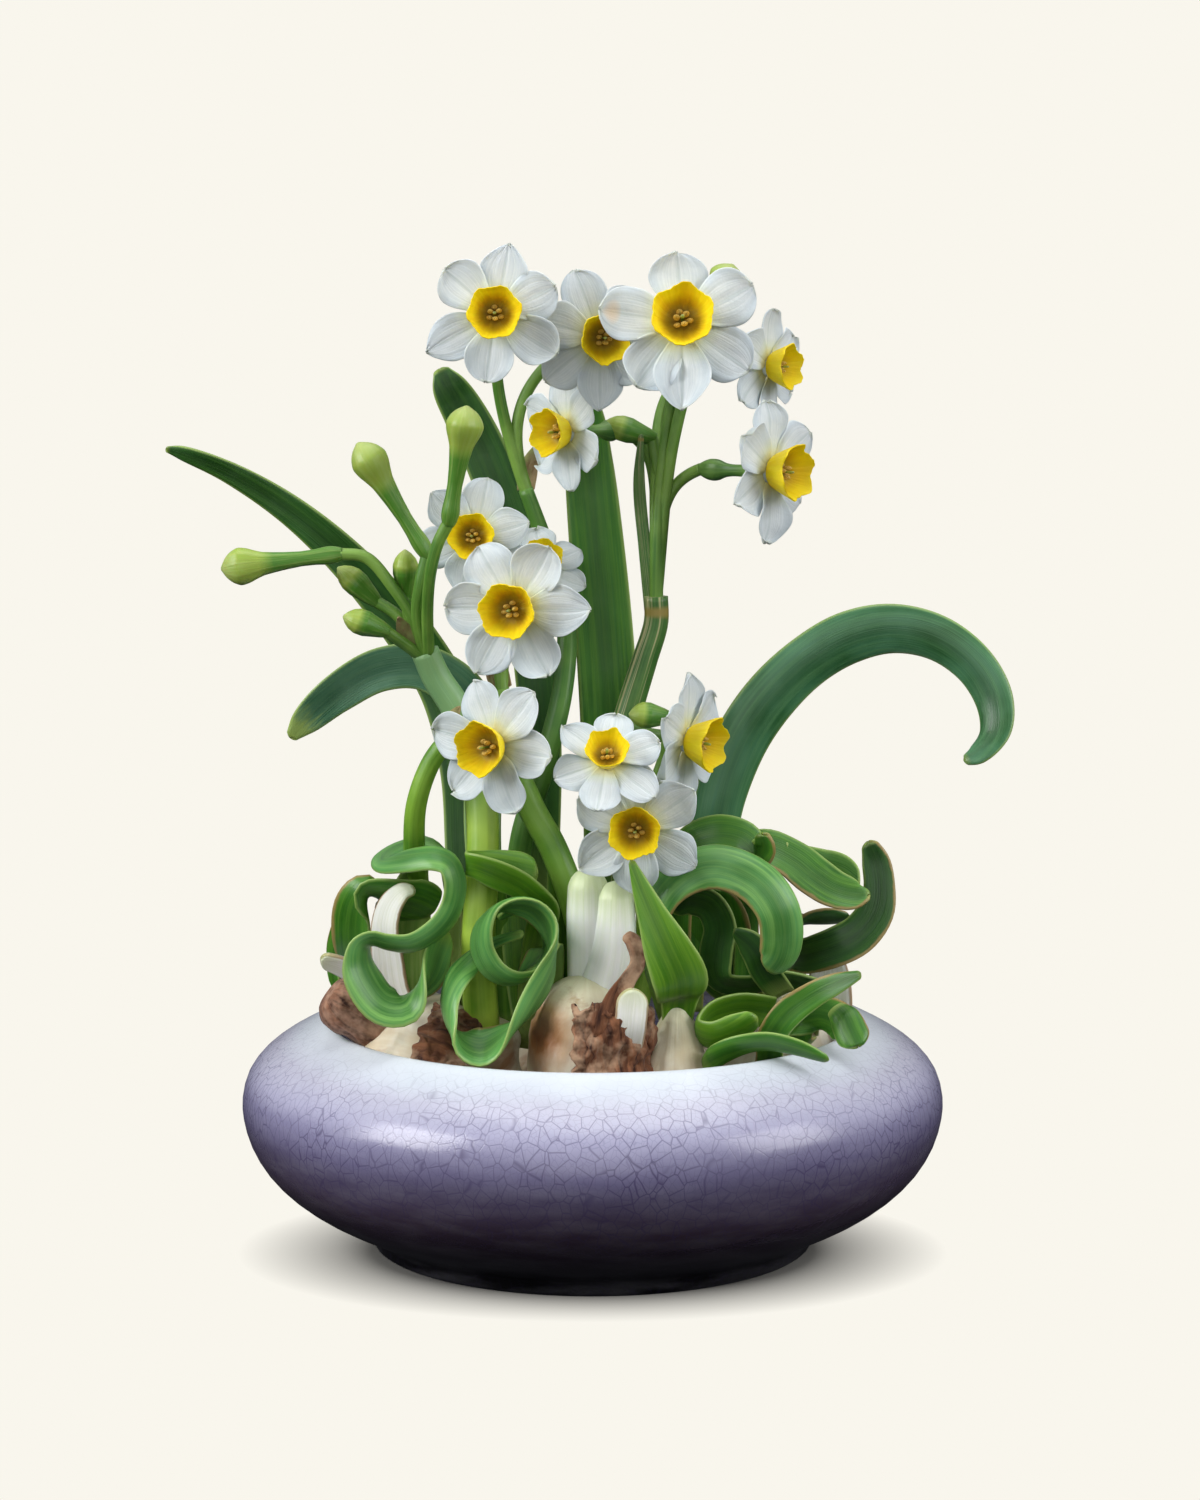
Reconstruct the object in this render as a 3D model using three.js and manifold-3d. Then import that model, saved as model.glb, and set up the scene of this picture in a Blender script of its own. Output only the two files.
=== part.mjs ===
// Water narcissus in a shallow glazed bowl, millimetres, +Z up.
// The origin is the middle of the foot on the table. The front of the plant looks along -Y.

import * as THREE from 'three';
import { mergeVertices } from 'three/addons/utils/BufferGeometryUtils.js';
import Module from 'manifold-3d';

const wasm = await Module();
wasm.setup();

// Driving dimensions

const GAP = 0.3; // between pieces that touch
const BOWL_HEIGHT = 61.8;
const BOWL_FLOOR = 9;
const BOWL_SIDES = 32;
const WATER_SIDES = 16; // half as many, so that its corners meet the bowl's
const WATER_LEVEL = 30;
const BULB_SIDES = 11;
const LEAF_MID = 1.8; // thickness along the midrib
const LEAF_EDGE = 0.9; // thickness at both edges
const LEAF_CHANNEL = 0.1; // how far the edges stand up, as a share of the width
const PETAL_MID = 0.9; // thickness along the middle
const PETAL_EDGE = 0.65; // thickness at both edges
const WHORL_STEP = 1.0; // the inner three petals stand this far in front of the outer three
const HUB_TOP = 1; // the petals' joint, before and behind the middle of the inner three
const HUB_DEPTH = 1.6;
const HUB_RADIUS = 0.2; // as a share of the flower's radius
const CORONA_RADIUS = 0.39; // as a share of the flower's radius
const CORONA_HEIGHT = 0.36;
const CORONA_SIDES = 11;

// Outer profile of the bowl: radius and height, from the foot up to the lip.
const BOWL_OUTSIDE = [
  [59.8, 0], [60.8, 4], [69, 8], [77, 12.2], [85, 18], [91.4, 26], [95, 36], [93.8, 46.5], [88.5, 53.2],
  [80, 58.6], [72.6, BOWL_HEIGHT],
];

// Bulbs: radius against height along the axis, the middle of the base, and the axis.
const UPRIGHT_BULB = [
  [0, 0], [10, 0.6], [18, 7], [23.5, 17], [25, 27], [23.5, 37], [19.5, 47], [15.5, 54], [12, 61], [9.5, 66],
  [0, 67],
];
const TALL_BULB = [
  [0, 0], [9, 0.6], [14, 6], [17, 18], [17.4, 36], [16.8, 54], [15.6, 63.5], [12.4, 68.5], [7, 71.5],
  [0, 72],
];
const BULBS = {
  middle: { base: [-1.5, -41, 9.4], axis: [0, -0.02, 1], profile: TALL_BULB, size: 1.0 },
  right: { base: [46, 0, 9.4], axis: [0.08, -0.05, 1], profile: UPRIGHT_BULB, size: 0.98 },
  back: { base: [-3, 24, 9.4], axis: [-0.05, -0.08, 1], profile: UPRIGHT_BULB, size: 0.98 },
};

const GREEN = 0x3f7d3c;
const DEEP_GREEN = 0x2c6a3f;
const BLUE_GREEN = 0x4d8a66;
const BRIGHT_GREEN = 0x6fa32c;

// Solids

// Makes a manifold solid from a three.js geometry.
function solidFrom(geometry) {
  const bare = geometry.clone();
  bare.deleteAttribute('normal');
  bare.deleteAttribute('uv');
  const merged = mergeVertices(bare, 1e-4);
  return new wasm.Manifold(new wasm.Mesh({
    numProp: 3,
    vertProperties: new Float32Array(merged.attributes.position.array),
    triVerts: new Uint32Array(merged.index.array),
  }));
}

function geometryFrom(solid) {
  const mesh = solid.getMesh();
  const geometry = new THREE.BufferGeometry();
  geometry.setAttribute('position', new THREE.BufferAttribute(new Float32Array(mesh.vertProperties), 3));
  geometry.setIndex(new THREE.BufferAttribute(new Uint32Array(mesh.triVerts), 1));
  geometry.computeVertexNormals();
  return geometry;
}

// Keeps the largest body, so that a cut leaves no loose scrap.
function largest(solid) {
  const bodies = solid.decompose();
  bodies.sort((a, b) => b.volume() - a.volume());
  return bodies[0];
}

function union(solids) {
  return solids.reduce((whole, solid) => whole.add(solid));
}

function cut(solid, tools) {
  return largest(tools.reduce((rest, tool) => rest.subtract(tool), solid));
}

// Joins equal rings of points, listed counterclockwise about the direction of travel, and caps both
// ends. A side listed in `flipped` is split along its other diagonal.
function loft(rings, flipped = []) {
  const count = rings[0].length;
  const positions = rings.flat().flatMap((point) => [point.x, point.y, point.z]);
  const index = [];
  for (let ring = 0; ring < rings.length - 1; ring += 1) {
    for (let side = 0; side < count; side += 1) {
      const a = ring * count + side;
      const b = ring * count + ((side + 1) % count);
      if (flipped.includes(side)) index.push(a, b, a + count, b, b + count, a + count);
      else index.push(a, b, b + count, a, b + count, a + count);
    }
  }
  const last = (rings.length - 1) * count;
  for (let side = 1; side < count - 1; side += 1) {
    index.push(0, side + 1, side);
    index.push(last, last + side, last + side + 1);
  }
  const geometry = new THREE.BufferGeometry();
  geometry.setAttribute('position', new THREE.Float32BufferAttribute(positions, 3));
  geometry.setIndex(index);
  return solidFrom(geometry);
}

// A closed sheet between two equal grids of points: rows run up and columns to the right, as seen from
// the front.
function sheet(front, back) {
  const [rows, columns] = [front.length, front[0].length];
  const positions = [...front, ...back].flat().flatMap((point) => [point.x, point.y, point.z]);
  const before = (row, column) => row * columns + column;
  const behind = (row, column) => (rows + row) * columns + column;
  const index = [];
  const border = [];
  for (let row = 0; row < rows - 1; row += 1) {
    for (let column = 0; column < columns - 1; column += 1) {
      const cell = [[row, column], [row, column + 1], [row + 1, column + 1], [row + 1, column]];
      const [a, b, c, d] = cell.map((place) => before(...place));
      const [e, f, g, h] = cell.map((place) => behind(...place));
      index.push(a, b, c, a, c, d, e, g, f, e, h, g);
    }
  }
  for (let column = 0; column < columns - 1; column += 1) border.push([0, column]);
  for (let row = 0; row < rows - 1; row += 1) border.push([row, columns - 1]);
  for (let column = columns - 1; column > 0; column -= 1) border.push([rows - 1, column]);
  for (let row = rows - 1; row > 0; row -= 1) border.push([row, 0]);
  border.forEach((here, place) => {
    const next = border[(place + 1) % border.length];
    index.push(before(...here), behind(...here), behind(...next));
    index.push(before(...here), behind(...next), before(...next));
  });
  const geometry = new THREE.BufferGeometry();
  geometry.setAttribute('position', new THREE.Float32BufferAttribute(positions, 3));
  geometry.setIndex(index);
  return solidFrom(geometry);
}

const vector = ([x, y, z]) => new THREE.Vector3(x, y, z);
const UP = vector([0, 0, 1]);
const turnOnto = (axis) => new THREE.Quaternion().setFromUnitVectors(UP, vector(axis).normalize());

// Reads a list of numbers or of vectors at a share u of its length.
function along(list, u) {
  if (list.length === 1) return list[0];
  const place = u * (list.length - 1);
  const first = Math.min(Math.floor(place), list.length - 2);
  const share = place - first;
  const [a, b] = [list[first], list[first + 1]];
  return typeof a === 'number' ? a + (b - a) * share : a.clone().lerp(b, share);
}

// A fleshy blade with a midrib. `across` lists the directions of its width from base to tip, or
// `around` is the point that its width is turned away from, leaning by `lean`.
function blade({ route, across, around, lean = [0, 0, 0], steps }, grow = 0) {
  const curve = new THREE.CatmullRomCurve3(route.map(vector), false, 'centripetal');
  const widths = route.map((row) => row[3]);
  const directions = across ? across.map((row) => vector(row).normalize()) : null;
  const rings = [];
  for (let step = 0; step <= steps; step += 1) {
    const u = step / steps;
    const centre = curve.getPoint(u);
    const ahead = curve.getTangent(u);
    const side = directions ? along(directions, u).clone() : centre.clone().sub(vector(around)).normalize();
    side.add(vector(lean));
    side.addScaledVector(ahead, -side.dot(ahead)).normalize();
    const up = side.clone().cross(ahead);
    const half = along(widths, u) / 2 + grow;
    const raised = 2 * half * LEAF_CHANNEL;
    const mid = LEAF_MID / 2 + grow;
    const edge = LEAF_EDGE / 2 + grow;
    const place = (s, n) => centre.clone().addScaledVector(side, s).addScaledVector(up, n);
    rings.push([
      place(0, mid), place(half, raised + edge), place(half, raised - edge),
      place(0, -mid), place(-half, raised - edge), place(-half, raised + edge),
    ]);
  }
  return loft(rings, [2, 3]);
}

// A round stem along a route, with its radius read from a list.
function stalk({ route, radius, sides = 6, steps }) {
  const curve = new THREE.CatmullRomCurve3(route.map(vector), false, 'centripetal');
  const rings = [];
  let side = new THREE.Vector3(1, 0.2, 0.1);
  for (let step = 0; step <= steps; step += 1) {
    const u = step / steps;
    const centre = curve.getPointAt(u);
    const ahead = curve.getTangentAt(u);
    side = side.clone().addScaledVector(ahead, -side.dot(ahead)).normalize();
    const up = ahead.clone().cross(side);
    const r = along(radius, u);
    const ring = [];
    for (let k = 0; k < sides; k += 1) {
      const angle = (2 * Math.PI * k) / sides;
      ring.push(centre.clone()
        .addScaledVector(side, r * Math.cos(angle))
        .addScaledVector(up, r * Math.sin(angle)));
    }
    rings.push(ring);
  }
  return loft(rings);
}

// A turned solid: radius and height pairs, from the base to the top, about an axis through a point.
function turned(profile, sides, base = [0, 0, 0], axis = [0, 0, 1], grow = 0) {
  const points = profile.map(([r, h], place) => {
    const end = place === 0 ? -grow : place === profile.length - 1 ? grow : 0;
    return new THREE.Vector2(r === 0 ? 0 : r + grow, h + end);
  });
  const geometry = new THREE.LatheGeometry(points, sides);
  geometry.rotateX(Math.PI / 2);
  const turn = turnOnto(axis);
  geometry.applyQuaternion(turn);
  geometry.translate(...base);
  return solidFrom(geometry);
}

// Scene graph

const plant = new THREE.Group();

function addPiece(name, solid, colour, roughness = 0.5) {
  const material = new THREE.MeshStandardMaterial({ color: colour, roughness, metalness: 0 });
  const mesh = new THREE.Mesh(geometryFrom(solid), material);
  mesh.name = name;
  plant.add(mesh);
}

// Bowl: one thrown and glazed piece, open at the top.

function makeBowl() {
  const inside = [
    [70.4, BOWL_HEIGHT - 2], [81, 52.8], [89, 44], [90.2, 36], [85.5, 26], [68, 12.6], [56, BOWL_FLOOR],
  ];
  return turned([[0, 0], ...BOWL_OUTSIDE, ...inside, [0, BOWL_FLOOR]], BOWL_SIDES);
}

// Bulbs

// The left bulb lies on its side, root plate up to the left, and its neck turns up at the right.
const LYING = {
  base: [-65, -20, 51],
  axis: [0.86, -0.12, -0.33],
  profile: [[0, 0], [10, 0.4], [18.5, 4], [26, 11], [29.5, 21], [27.5, 31], [21, 39], [0, 45]],
};
// The brown root plate at the upper left of the lying bulb.
const ROOT_PLATE = {
  base: [-69.5, -32.5, 74.5],
  axis: [0.75, 0.15, -0.6],
  profile: [[0, 0], [4.5, 0.4], [6.8, 3], [7, 10], [6, 19], [0, 19.5]],
};
const LEFT_NECK = {
  base: [-34, -25, 36],
  axis: [0.22, -0.2, 1],
  profile: [[0, 0], [13, 1], [13.5, 12], [11.5, 24], [9.6, 31], [0, 31.5]],
};
const OFFSET = {
  base: [22, -46, 9.4],
  axis: [0, 0.02, 1],
  profile: [[0, 0], [8, 0.5], [12, 8], [13, 22], [12, 40], [9.8, 52], [7, 60], [4, 64.5], [0, 65.5]],
};

// Scale leaves of the bulbs that stand up beyond them.
const LEFT_SCALE = {
  route: [
    [-46, -24, 58, 12], [-52.5, -29, 76, 11], [-53.5, -33, 86, 10], [-54, -34.5, 93, 8.5],
    [-52.5, -35, 98.5, 7.5], [-49.5, -35.5, 102, 5.5], [-46.5, -35.5, 102.5, 2.5],
  ],
  across: [
    [0.8, -0.5, 0], [0.85, -0.5, 0], [0.85, -0.5, 0], [0.85, -0.5, -0.1], [0.8, -0.5, -0.3],
    [0.4, -0.5, -0.75], [0.2, -0.5, -0.85],
  ],
  steps: 8,
};
const LEFT_STRIP = {
  route: [[-52, -22, 66, 9], [-60, -24.5, 76.5, 9], [-66, -25, 80.5, 8], [-72, -25, 82.5, 6]],
  across: [[0, -0.6, 0.8]],
  steps: 5,
};
const WHITE_SCALE = {
  route: [[8, -52, 60, 8], [9.5, -57.5, 70, 8.5], [10.5, -57, 80.5, 8.5]],
  across: [[1, 0.2, 0.1]],
  steps: 4,
};
const RIGHT_SCALE = {
  route: [[62, -4, 54, 14], [64, -7, 68, 13], [64, -6, 78, 9], [63.5, -6, 84, 2]],
  across: [[1, -0.2, 0]],
  steps: 5,
};

function bulbSolid({ base, axis, profile, size = 1 }, grow = 0) {
  const scaled = profile.map(([r, h]) => [r * size, h * size]);
  return turned(scaled, BULB_SIDES, base, axis, grow);
}

function leftBulb(grow = 0) {
  return union([bulbSolid(LYING, grow), bulbSolid(LEFT_NECK, grow)]);
}

function middleBulb(grow = 0) {
  return union([bulbSolid(BULBS.middle, grow), bulbSolid(OFFSET, grow), blade(WHITE_SCALE, grow)]);
}

const middle = middleBulb();
const right = union([bulbSolid(BULBS.right), blade(RIGHT_SCALE)]);
const back = bulbSolid(BULBS.back);
const grownMiddle = middleBulb(GAP);
const grownRight = bulbSolid(BULBS.right, GAP);
const grownBack = bulbSolid(BULBS.back, GAP);
const left = cut(union([leftBulb(), blade(LEFT_SCALE), blade(LEFT_STRIP)]), [grownMiddle, grownBack]);
const grownLeft = leftBulb(GAP);
const grownBulbs = [grownLeft, grownMiddle, grownRight, grownBack];

addPiece('bowl', makeBowl(), 0x9d8fb5, 0.25);
addPiece('bulb_left', left, 0xe9e0cc, 0.6);
addPiece('bulb_middle', middle, 0xe6dcc6, 0.6);
addPiece('bulb_right', right, 0xdfe0d0, 0.6);
addPiece('bulb_back', back, 0xe4dac4, 0.6);

// Water: fills the bowl round the bulbs, up to its level.

function makeWater() {
  const profile = [
    [0, BOWL_FLOOR + GAP], [55.7, BOWL_FLOOR + GAP], [67.5, 13], [84.9, 26.2], [86.7, WATER_LEVEL],
    [0, WATER_LEVEL],
  ];
  return cut(turned(profile, WATER_SIDES), grownBulbs);
}

addPiece('water', makeWater(), 0xbfd4cf, 0.1);

// Papery skins: a sheet that lies on a bulb, between two angles and two heights.

function makeSkin(bulb, { from, to, low, high, thick, ruffle, columns, rows }) {
  const turn = turnOnto(bulb.axis);
  const size = bulb.size ?? 1;
  const radii = bulb.profile.map(([r, h]) => new THREE.Vector2(r * size, h * size));
  const radiusAt = (height) => {
    const next = Math.max(1, radii.findIndex((point) => point.y >= height));
    const [a, b] = [radii[next - 1], radii[next]];
    return a.x + ((b.x - a.x) * (height - a.y)) / (b.y - a.y);
  };
  const place = (angle, height, out) => {
    const r = radiusAt(height) + out;
    const point = new THREE.Vector3(r * Math.cos(angle), r * Math.sin(angle), height);
    return point.applyQuaternion(turn).add(vector(bulb.base));
  };
  const front = [];
  const back = [];
  for (let row = 0; row <= rows; row += 1) {
    const height = low + ((high - low) * row) / rows;
    const outer = [];
    const inner = [];
    for (let column = 0; column <= columns; column += 1) {
      const angle = from + ((to - from) * column) / columns;
      const fold = 2 * GAP + ruffle * (0.5 + 0.5 * Math.sin(5.3 * column + 2.1 * row));
      inner.push(place(angle, height, fold));
      outer.push(place(angle, height, fold + thick));
    }
    front.push(outer);
    back.push(inner);
  }
  return sheet(front, back);
}

const SKIN_MIDDLE = { from: -1.75, to: -0.4, low: 45, high: 67, thick: 1.2, ruffle: 1.4, columns: 5, rows: 3 };
const SKIN_LEFT = { from: 3.3, to: 4.1, low: 16, high: 30, thick: 1.2, ruffle: 1.4, columns: 4, rows: 3 };
// A dried shred of the skin stands up in front of the shoots.
const SHRED = {
  route: [
    [4, -59, 68, 8], [5.5, -58, 76, 7], [9, -55.5, 82.5, 4.5], [11.5, -54.5, 87, 4], [10.5, -54, 92, 4],
    [8.5, -53.5, 94, 2.5],
  ],
  across: [[1, 0.1, 0], [1, 0.2, 0], [0.9, 0.3, -0.3], [0.9, 0.3, 0], [0.7, 0.4, 0.6]],
  steps: 7,
};
const skinMiddle = union([makeSkin(BULBS.middle, SKIN_MIDDLE), blade(SHRED)]);
const skinLeft = union([makeSkin(LYING, SKIN_LEFT), bulbSolid(ROOT_PLATE)]);

// Leaves that stand or arch in the open. A row of `route` is a point of the midrib and the width there.

const LEAVES = {
  leaf_long: {
    colour: DEEP_GREEN,
    route: [
      [-36, -12, 56, 10], [-34, -6, 82, 11], [-34, 1, 108, 12], [-35, 5, 130, 13], [-40, 8, 150, 13.5],
      [-51, 8, 168, 13], [-66, 7, 186, 11], [-82, 6, 200, 8.5], [-98, 4, 210, 6], [-110, 2, 215, 4],
      [-114, 2, 216, 1.6],
    ],
    across: [[1, 0.1, 0], [0.9, 0, 0.3], [0.7, -0.1, 0.7], [0.5, -0.2, 0.8], [0.3, -0.3, 0.9]],
    steps: 10,
  },
  leaf_droop: {
    colour: BLUE_GREEN,
    route: [
      [-32, -18, 60, 9], [-29, -13, 90, 9], [-29.5, -8, 116, 10], [-29.5, -7, 136, 11],
      [-34, -8, 151, 12.5], [-45, -9, 158.5, 12.5], [-57, -10, 158, 12], [-68, -12, 152, 11],
      [-76.5, -12, 144.5, 8], [-80.5, -12, 140, 3],
    ],
    around: [-55, -6, 128],
    steps: 10,
  },
  leaf_upright_left: {
    colour: DEEP_GREEN,
    route: [
      [-12, 17, 62, 9], [-14, 13, 100, 10], [-14, 12, 135, 11], [-17, 13, 168, 12], [-22, 13, 194, 12.5],
      [-29, 13, 214, 12.5], [-35, 12, 226, 11.5], [-39, 11, 233, 9], [-41, 11, 237, 4],
    ],
    across: [[1, 0, 0.1], [0.95, 0, 0.3], [0.9, 0, 0.5]],
    steps: 8,
  },
  leaf_upright: {
    colour: GREEN,
    route: [
      [2, 22, 60, 12], [5, 19, 95, 15], [5, 19, 130, 16], [3.5, 19, 160, 16], [1, 19, 190, 15],
      [-1, 18.5, 212, 13], [-2, 18, 226, 9], [-2.5, 18, 232, 3],
    ],
    across: [[1, 0, 0]],
    steps: 8,
  },
  leaf_arch: {
    colour: GREEN,
    route: [
      [42, 0, 60, 9], [36, -3, 86, 11], [33, -6, 106, 13], [34.5, -5, 122, 14.5], [40, -2, 137, 15],
      [48, 0, 149, 15], [58, 2, 158.5, 14.5], [69, 2, 165, 14.5], [81, 2, 167.5, 13.5], [93, 1, 165, 12.5],
      [102.5, -2, 158, 11.5], [107.5, -5, 149, 10.5], [107.5, -8, 141, 9], [103, -10, 135.5, 7],
      [99.5, -10, 133.5, 3],
    ],
    around: [79, -4, 134],
    lean: [0, -0.25, 0],
    steps: 12,
  },
  leaf_twist: {
    colour: BRIGHT_GREEN,
    route: [
      [21.5, -44, 62, 7], [22, -45.5, 70, 8], [22.5, -48, 76.5, 10], [22.5, -52, 78.5, 12.5],
      [22.5, -54.5, 83, 14.5],
      [19.3, -55.5, 91, 12.5], [15.5, -54.5, 99.5, 8], [12.3, -53, 107, 4.6], [10, -52, 113, 1.6],
    ],
    across: [
      [1, 0.1, 0], [1, 0.1, 0], [1, 0.05, 0.1], [0.95, 0, 0.25], [0.9, 0, 0.4], [0.9, -0.1, 0.4],
      [0.9, -0.1, 0.35], [0.9, -0.1, 0.3], [0.9, 0, 0.3],
    ],
    steps: 12,
  },
};

// Carved leaves that curl over the bulbs. `also` lists smaller leaves that grow out of the same one.

const CURLS = {
  curl_outer: {
    colour: GREEN,
    route: [
      [-54, -2, 56, 8], [-60, -6, 69.5, 9], [-62.5, -13, 77.5, 11], [-63.5, -20, 86.5, 12.5],
      [-62.5, -25, 95.5, 13], [-59.5, -29, 100.5, 12.5], [-55, -31, 100.5, 14], [-50, -28.5, 98, 17],
      [-46, -26.5, 96.5, 17], [-43, -24.5, 94.5, 12],
    ],
    across: [
      [0.6, -0.8, 0], [0.7, -0.7, 0], [0.8, -0.6, 0], [0.8, -0.6, 0], [0.8, -0.6, -0.1], [0.4, -0.9, -0.1],
      [0, -0.75, 0.65], [0.1, -0.6, 0.8], [0.2, -0.6, 0.8], [0.3, -0.6, 0.7],
    ],
    steps: 14,
    also: [
      {
        route: [
          [-61, -4, 66, 8], [-69, -1, 70.5, 8], [-69.5, -3, 79.5, 8.5], [-67.5, -6, 87, 7],
          [-64.5, -10, 92.5, 3],
        ],
        across: [[0.2, -0.9, 0.4], [0.7, -0.7, 0]],
        steps: 5,
      },
    ],
  },
  curl_ring: {
    colour: BLUE_GREEN,
    route: [
      [-39, -22, 62, 7], [-36, -23, 84, 6.5], [-37.5, -19, 103, 6.5], [-39.5, -15.5, 109, 7],
      [-44.5, -14, 112, 7.5], [-50.5, -16, 111, 7.5], [-54.5, -21, 109.5, 7], [-55, -28, 109, 7],
      [-53, -35, 110, 7.5], [-47, -41, 112, 8.5], [-41, -44, 113, 9], [-37, -44.5, 111.5, 9.5],
      [-35, -45, 107, 9.5], [-35.5, -45, 101, 9.5], [-38, -46, 96, 9.5], [-42.5, -47, 92, 9.5],
      [-47.5, -48, 90, 9], [-53, -48, 90.5, 8.5], [-57, -48, 91.5, 9], [-59.5, -48, 90, 10.5],
      [-60, -48, 86, 12.5], [-58, -49, 81, 14], [-54, -49.5, 76, 14.5], [-49.5, -49, 75, 14],
      [-46, -46.5, 77.5, 13.5], [-42.5, -43, 82, 12.5], [-40.5, -39, 87, 11], [-38.5, -36, 92, 8],
    ],
    across: [
      [0.6, -0.8, 0], [0.6, -0.8, 0], [0.6, -0.8, 0], [0.3, -0.9, -0.2], [0, -0.9, -0.4],
      [0.3, -0.85, -0.3], [0.8, -0.4, 0], [0.95, 0.1, 0.2], [0.3, 0.8, 0.45], [0, 0.85, 0.5],
      [0, 0.8, 0.55], [0.25, 0.8, 0.45], [0.6, 0.8, 0.1], [0.6, 0.8, -0.1], [0.5, 0.8, -0.4],
      [0.3, 0.8, -0.5], [0, 0.75, -0.6], [0, 0.75, -0.6], [0, 0.8, -0.55], [0.4, 0.8, -0.4], [0.55, 0.8, 0],
      [0.5, 0.8, 0.3], [0.2, 0.8, 0.5], [0, 0.8, 0.55], [0.15, 0.9, 0.2], [0.5, 0.8, -0.2],
      [0.6, 0.75, -0.3], [0.6, 0.75, -0.3],
    ],
    steps: 28,
  },
  curl_loop: {
    colour: BLUE_GREEN,
    route: [
      [-11.5, -32.5, 62, 6], [-11.5, -34, 75, 7], [-11.5, -36.5, 83, 8], [-12, -40, 87.5, 9],
      [-14, -43.5, 85, 10.5],
      [-17.5, -46.5, 81.3, 11.5], [-22, -48.5, 81, 12], [-26.5, -49.5, 84, 12], [-29.2, -50, 90, 11.5],
      [-28.4, -50.5, 96, 11.5], [-25, -50.5, 100.3, 11.5], [-20, -50.5, 101.8, 12],
      [-14.8, -50.5, 100.5, 12],
      [-11.2, -50.5, 96.5, 12], [-10, -51, 91, 12], [-11, -52, 84.5, 11.5], [-14, -53, 78, 11],
      [-18.5, -54, 71.5, 11],
      [-23.5, -54, 66.5, 11.5], [-28.5, -54, 64, 12], [-33.5, -54, 65.5, 12], [-36.5, -53, 69.5, 11.5],
      [-37.5, -51.5, 75.5, 10.5], [-35.5, -48, 81.5, 9], [-31.5, -43.5, 85.5, 6.5], [-27, -41.5, 89, 4],
      [-22.5, -42, 91, 3], [-18, -43.5, 92.5, 2.5],
    ],
    across: [
      [-0.9, 0.3, 0], [-0.9, 0.3, 0], [-0.9, 0.2, -0.1], [-0.95, 0.1, -0.2], [-0.7, 0.5, -0.4],
      [-0.45, 0.8, -0.4],
      [-0.42, 0.8, -0.42], [-0.42, 0.8, -0.42], [-0.42, 0.8, -0.42], [-0.42, 0.8, -0.42],
      [-0.42, 0.8, -0.42],
      [-0.42, 0.8, -0.42], [-0.42, 0.8, -0.42], [-0.42, 0.8, -0.42], [-0.25, 0.9, -0.25], [0.4, 0.85, -0.1],
      [0.55, 0.75, -0.2], [0.5, 0.8, 0.2], [0.2, 0.75, 0.6], [0.1, 0.65, 0.75], [-0.1, 0.8, 0.55],
      [-0.3, 0.9, 0.1],
      [-0.35, 0.9, 0.1], [-0.3, 0.9, 0.3], [-0.2, 0.7, 0.6], [0, 0.6, 0.8], [0, 0.6, 0.8], [0, 0.6, 0.8],
    ],
    steps: 24,
    also: [
      {
        route: [
          [-17.5, -46, 82, 9], [-12.8, -45, 85.5, 10], [-11.6, -43.5, 91, 10], [-14.5, -42, 96, 10],
          [-19.5, -41, 98, 9],
          [-24.5, -40, 96, 6],
        ],
        across: [[-0.3, 0.9, -0.3]],
        steps: 8,
      },
    ],
  },
  curl_tongue: {
    colour: BRIGHT_GREEN,
    route: [
      [-17, -24, 58, 7], [-15.5, -25, 80, 7.5], [-13.5, -29, 92, 8], [-12.5, -35.5, 98, 8],
      [-14.5, -39.5, 101.5, 8.5],
      [-19, -42, 105.5, 9], [-24.5, -43.5, 108.3, 9], [-29.5, -43.5, 110.3, 7.5], [-32, -41.5, 110.6, 6.5],
      [-29.5, -39, 110, 7], [-24, -37.5, 109, 9.5], [-18.5, -36.5, 107.8, 10.5], [-14.5, -36, 106.8, 7],
    ],
    across: [
      [0.9, -0.4, 0], [0.9, -0.4, 0], [0.9, -0.4, 0.1], [0.8, -0.4, 0.4], [0.6, -0.5, 0.6],
      [0.4, -0.5, 0.8],
      [0.3, -0.45, 0.85], [0.1, -0.4, 0.9], [-0.2, -0.1, 1], [0, 0.3, 0.95], [0.15, 0.4, 0.9],
      [0.2, 0.4, 0.9],
    ],
    steps: 15,
    also: [
      {
        route: [[-16.5, -24, 60, 8], [-18, -20.5, 78, 11], [-19, -18.5, 94, 11], [-20, -17.5, 103, 6]],
        across: [[1, 0.1, 0]],
        steps: 4,
      },
    ],
  },
  curl_big: {
    colour: BLUE_GREEN,
    route: [
      [22, -39, 58, 7], [18.5, -37, 72, 8], [15.5, -41, 88, 8.5], [16.5, -43.5, 98.5, 9],
      [20, -44, 105, 10.5],
      [25.5, -44, 109.2, 12], [31.5, -45, 110.8, 12.5], [38, -46.5, 109.5, 12.5], [44, -48, 105.8, 12.5],
      [48.3, -49, 99.5, 12], [49.5, -48, 92, 12], [48.5, -47, 86.5, 11], [46, -46, 83, 7],
    ],
    around: [32, -49, 94],
    lean: [0, 0.35, 0],
    steps: 14,
  },
  curl_inner: {
    colour: DEEP_GREEN,
    route: [
      [60, -10, 62, 8], [58.5, -24, 74, 8], [49.5, -29, 78, 8], [40, -32, 77, 9], [34, -34, 79, 9.5],
      [33, -34.5, 85, 10.5], [34, -34, 92.5, 11], [31, -33.5, 98.5, 11], [25, -33, 100, 10],
      [20, -33, 97.5, 7],
    ],
    across: [
      [0, -0.4, 1], [0, -0.6, 0.9], [0, -0.7, 0.7], [0.1, -0.7, 0.7], [0.4, -0.7, 0.5], [0.8, -0.5, 0.2],
      [0.75, -0.5, 0.4], [0.3, -0.5, 0.8], [-0.1, -0.5, 0.8], [-0.5, -0.5, 0.7],
    ],
    steps: 13,
    also: [
      {
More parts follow.
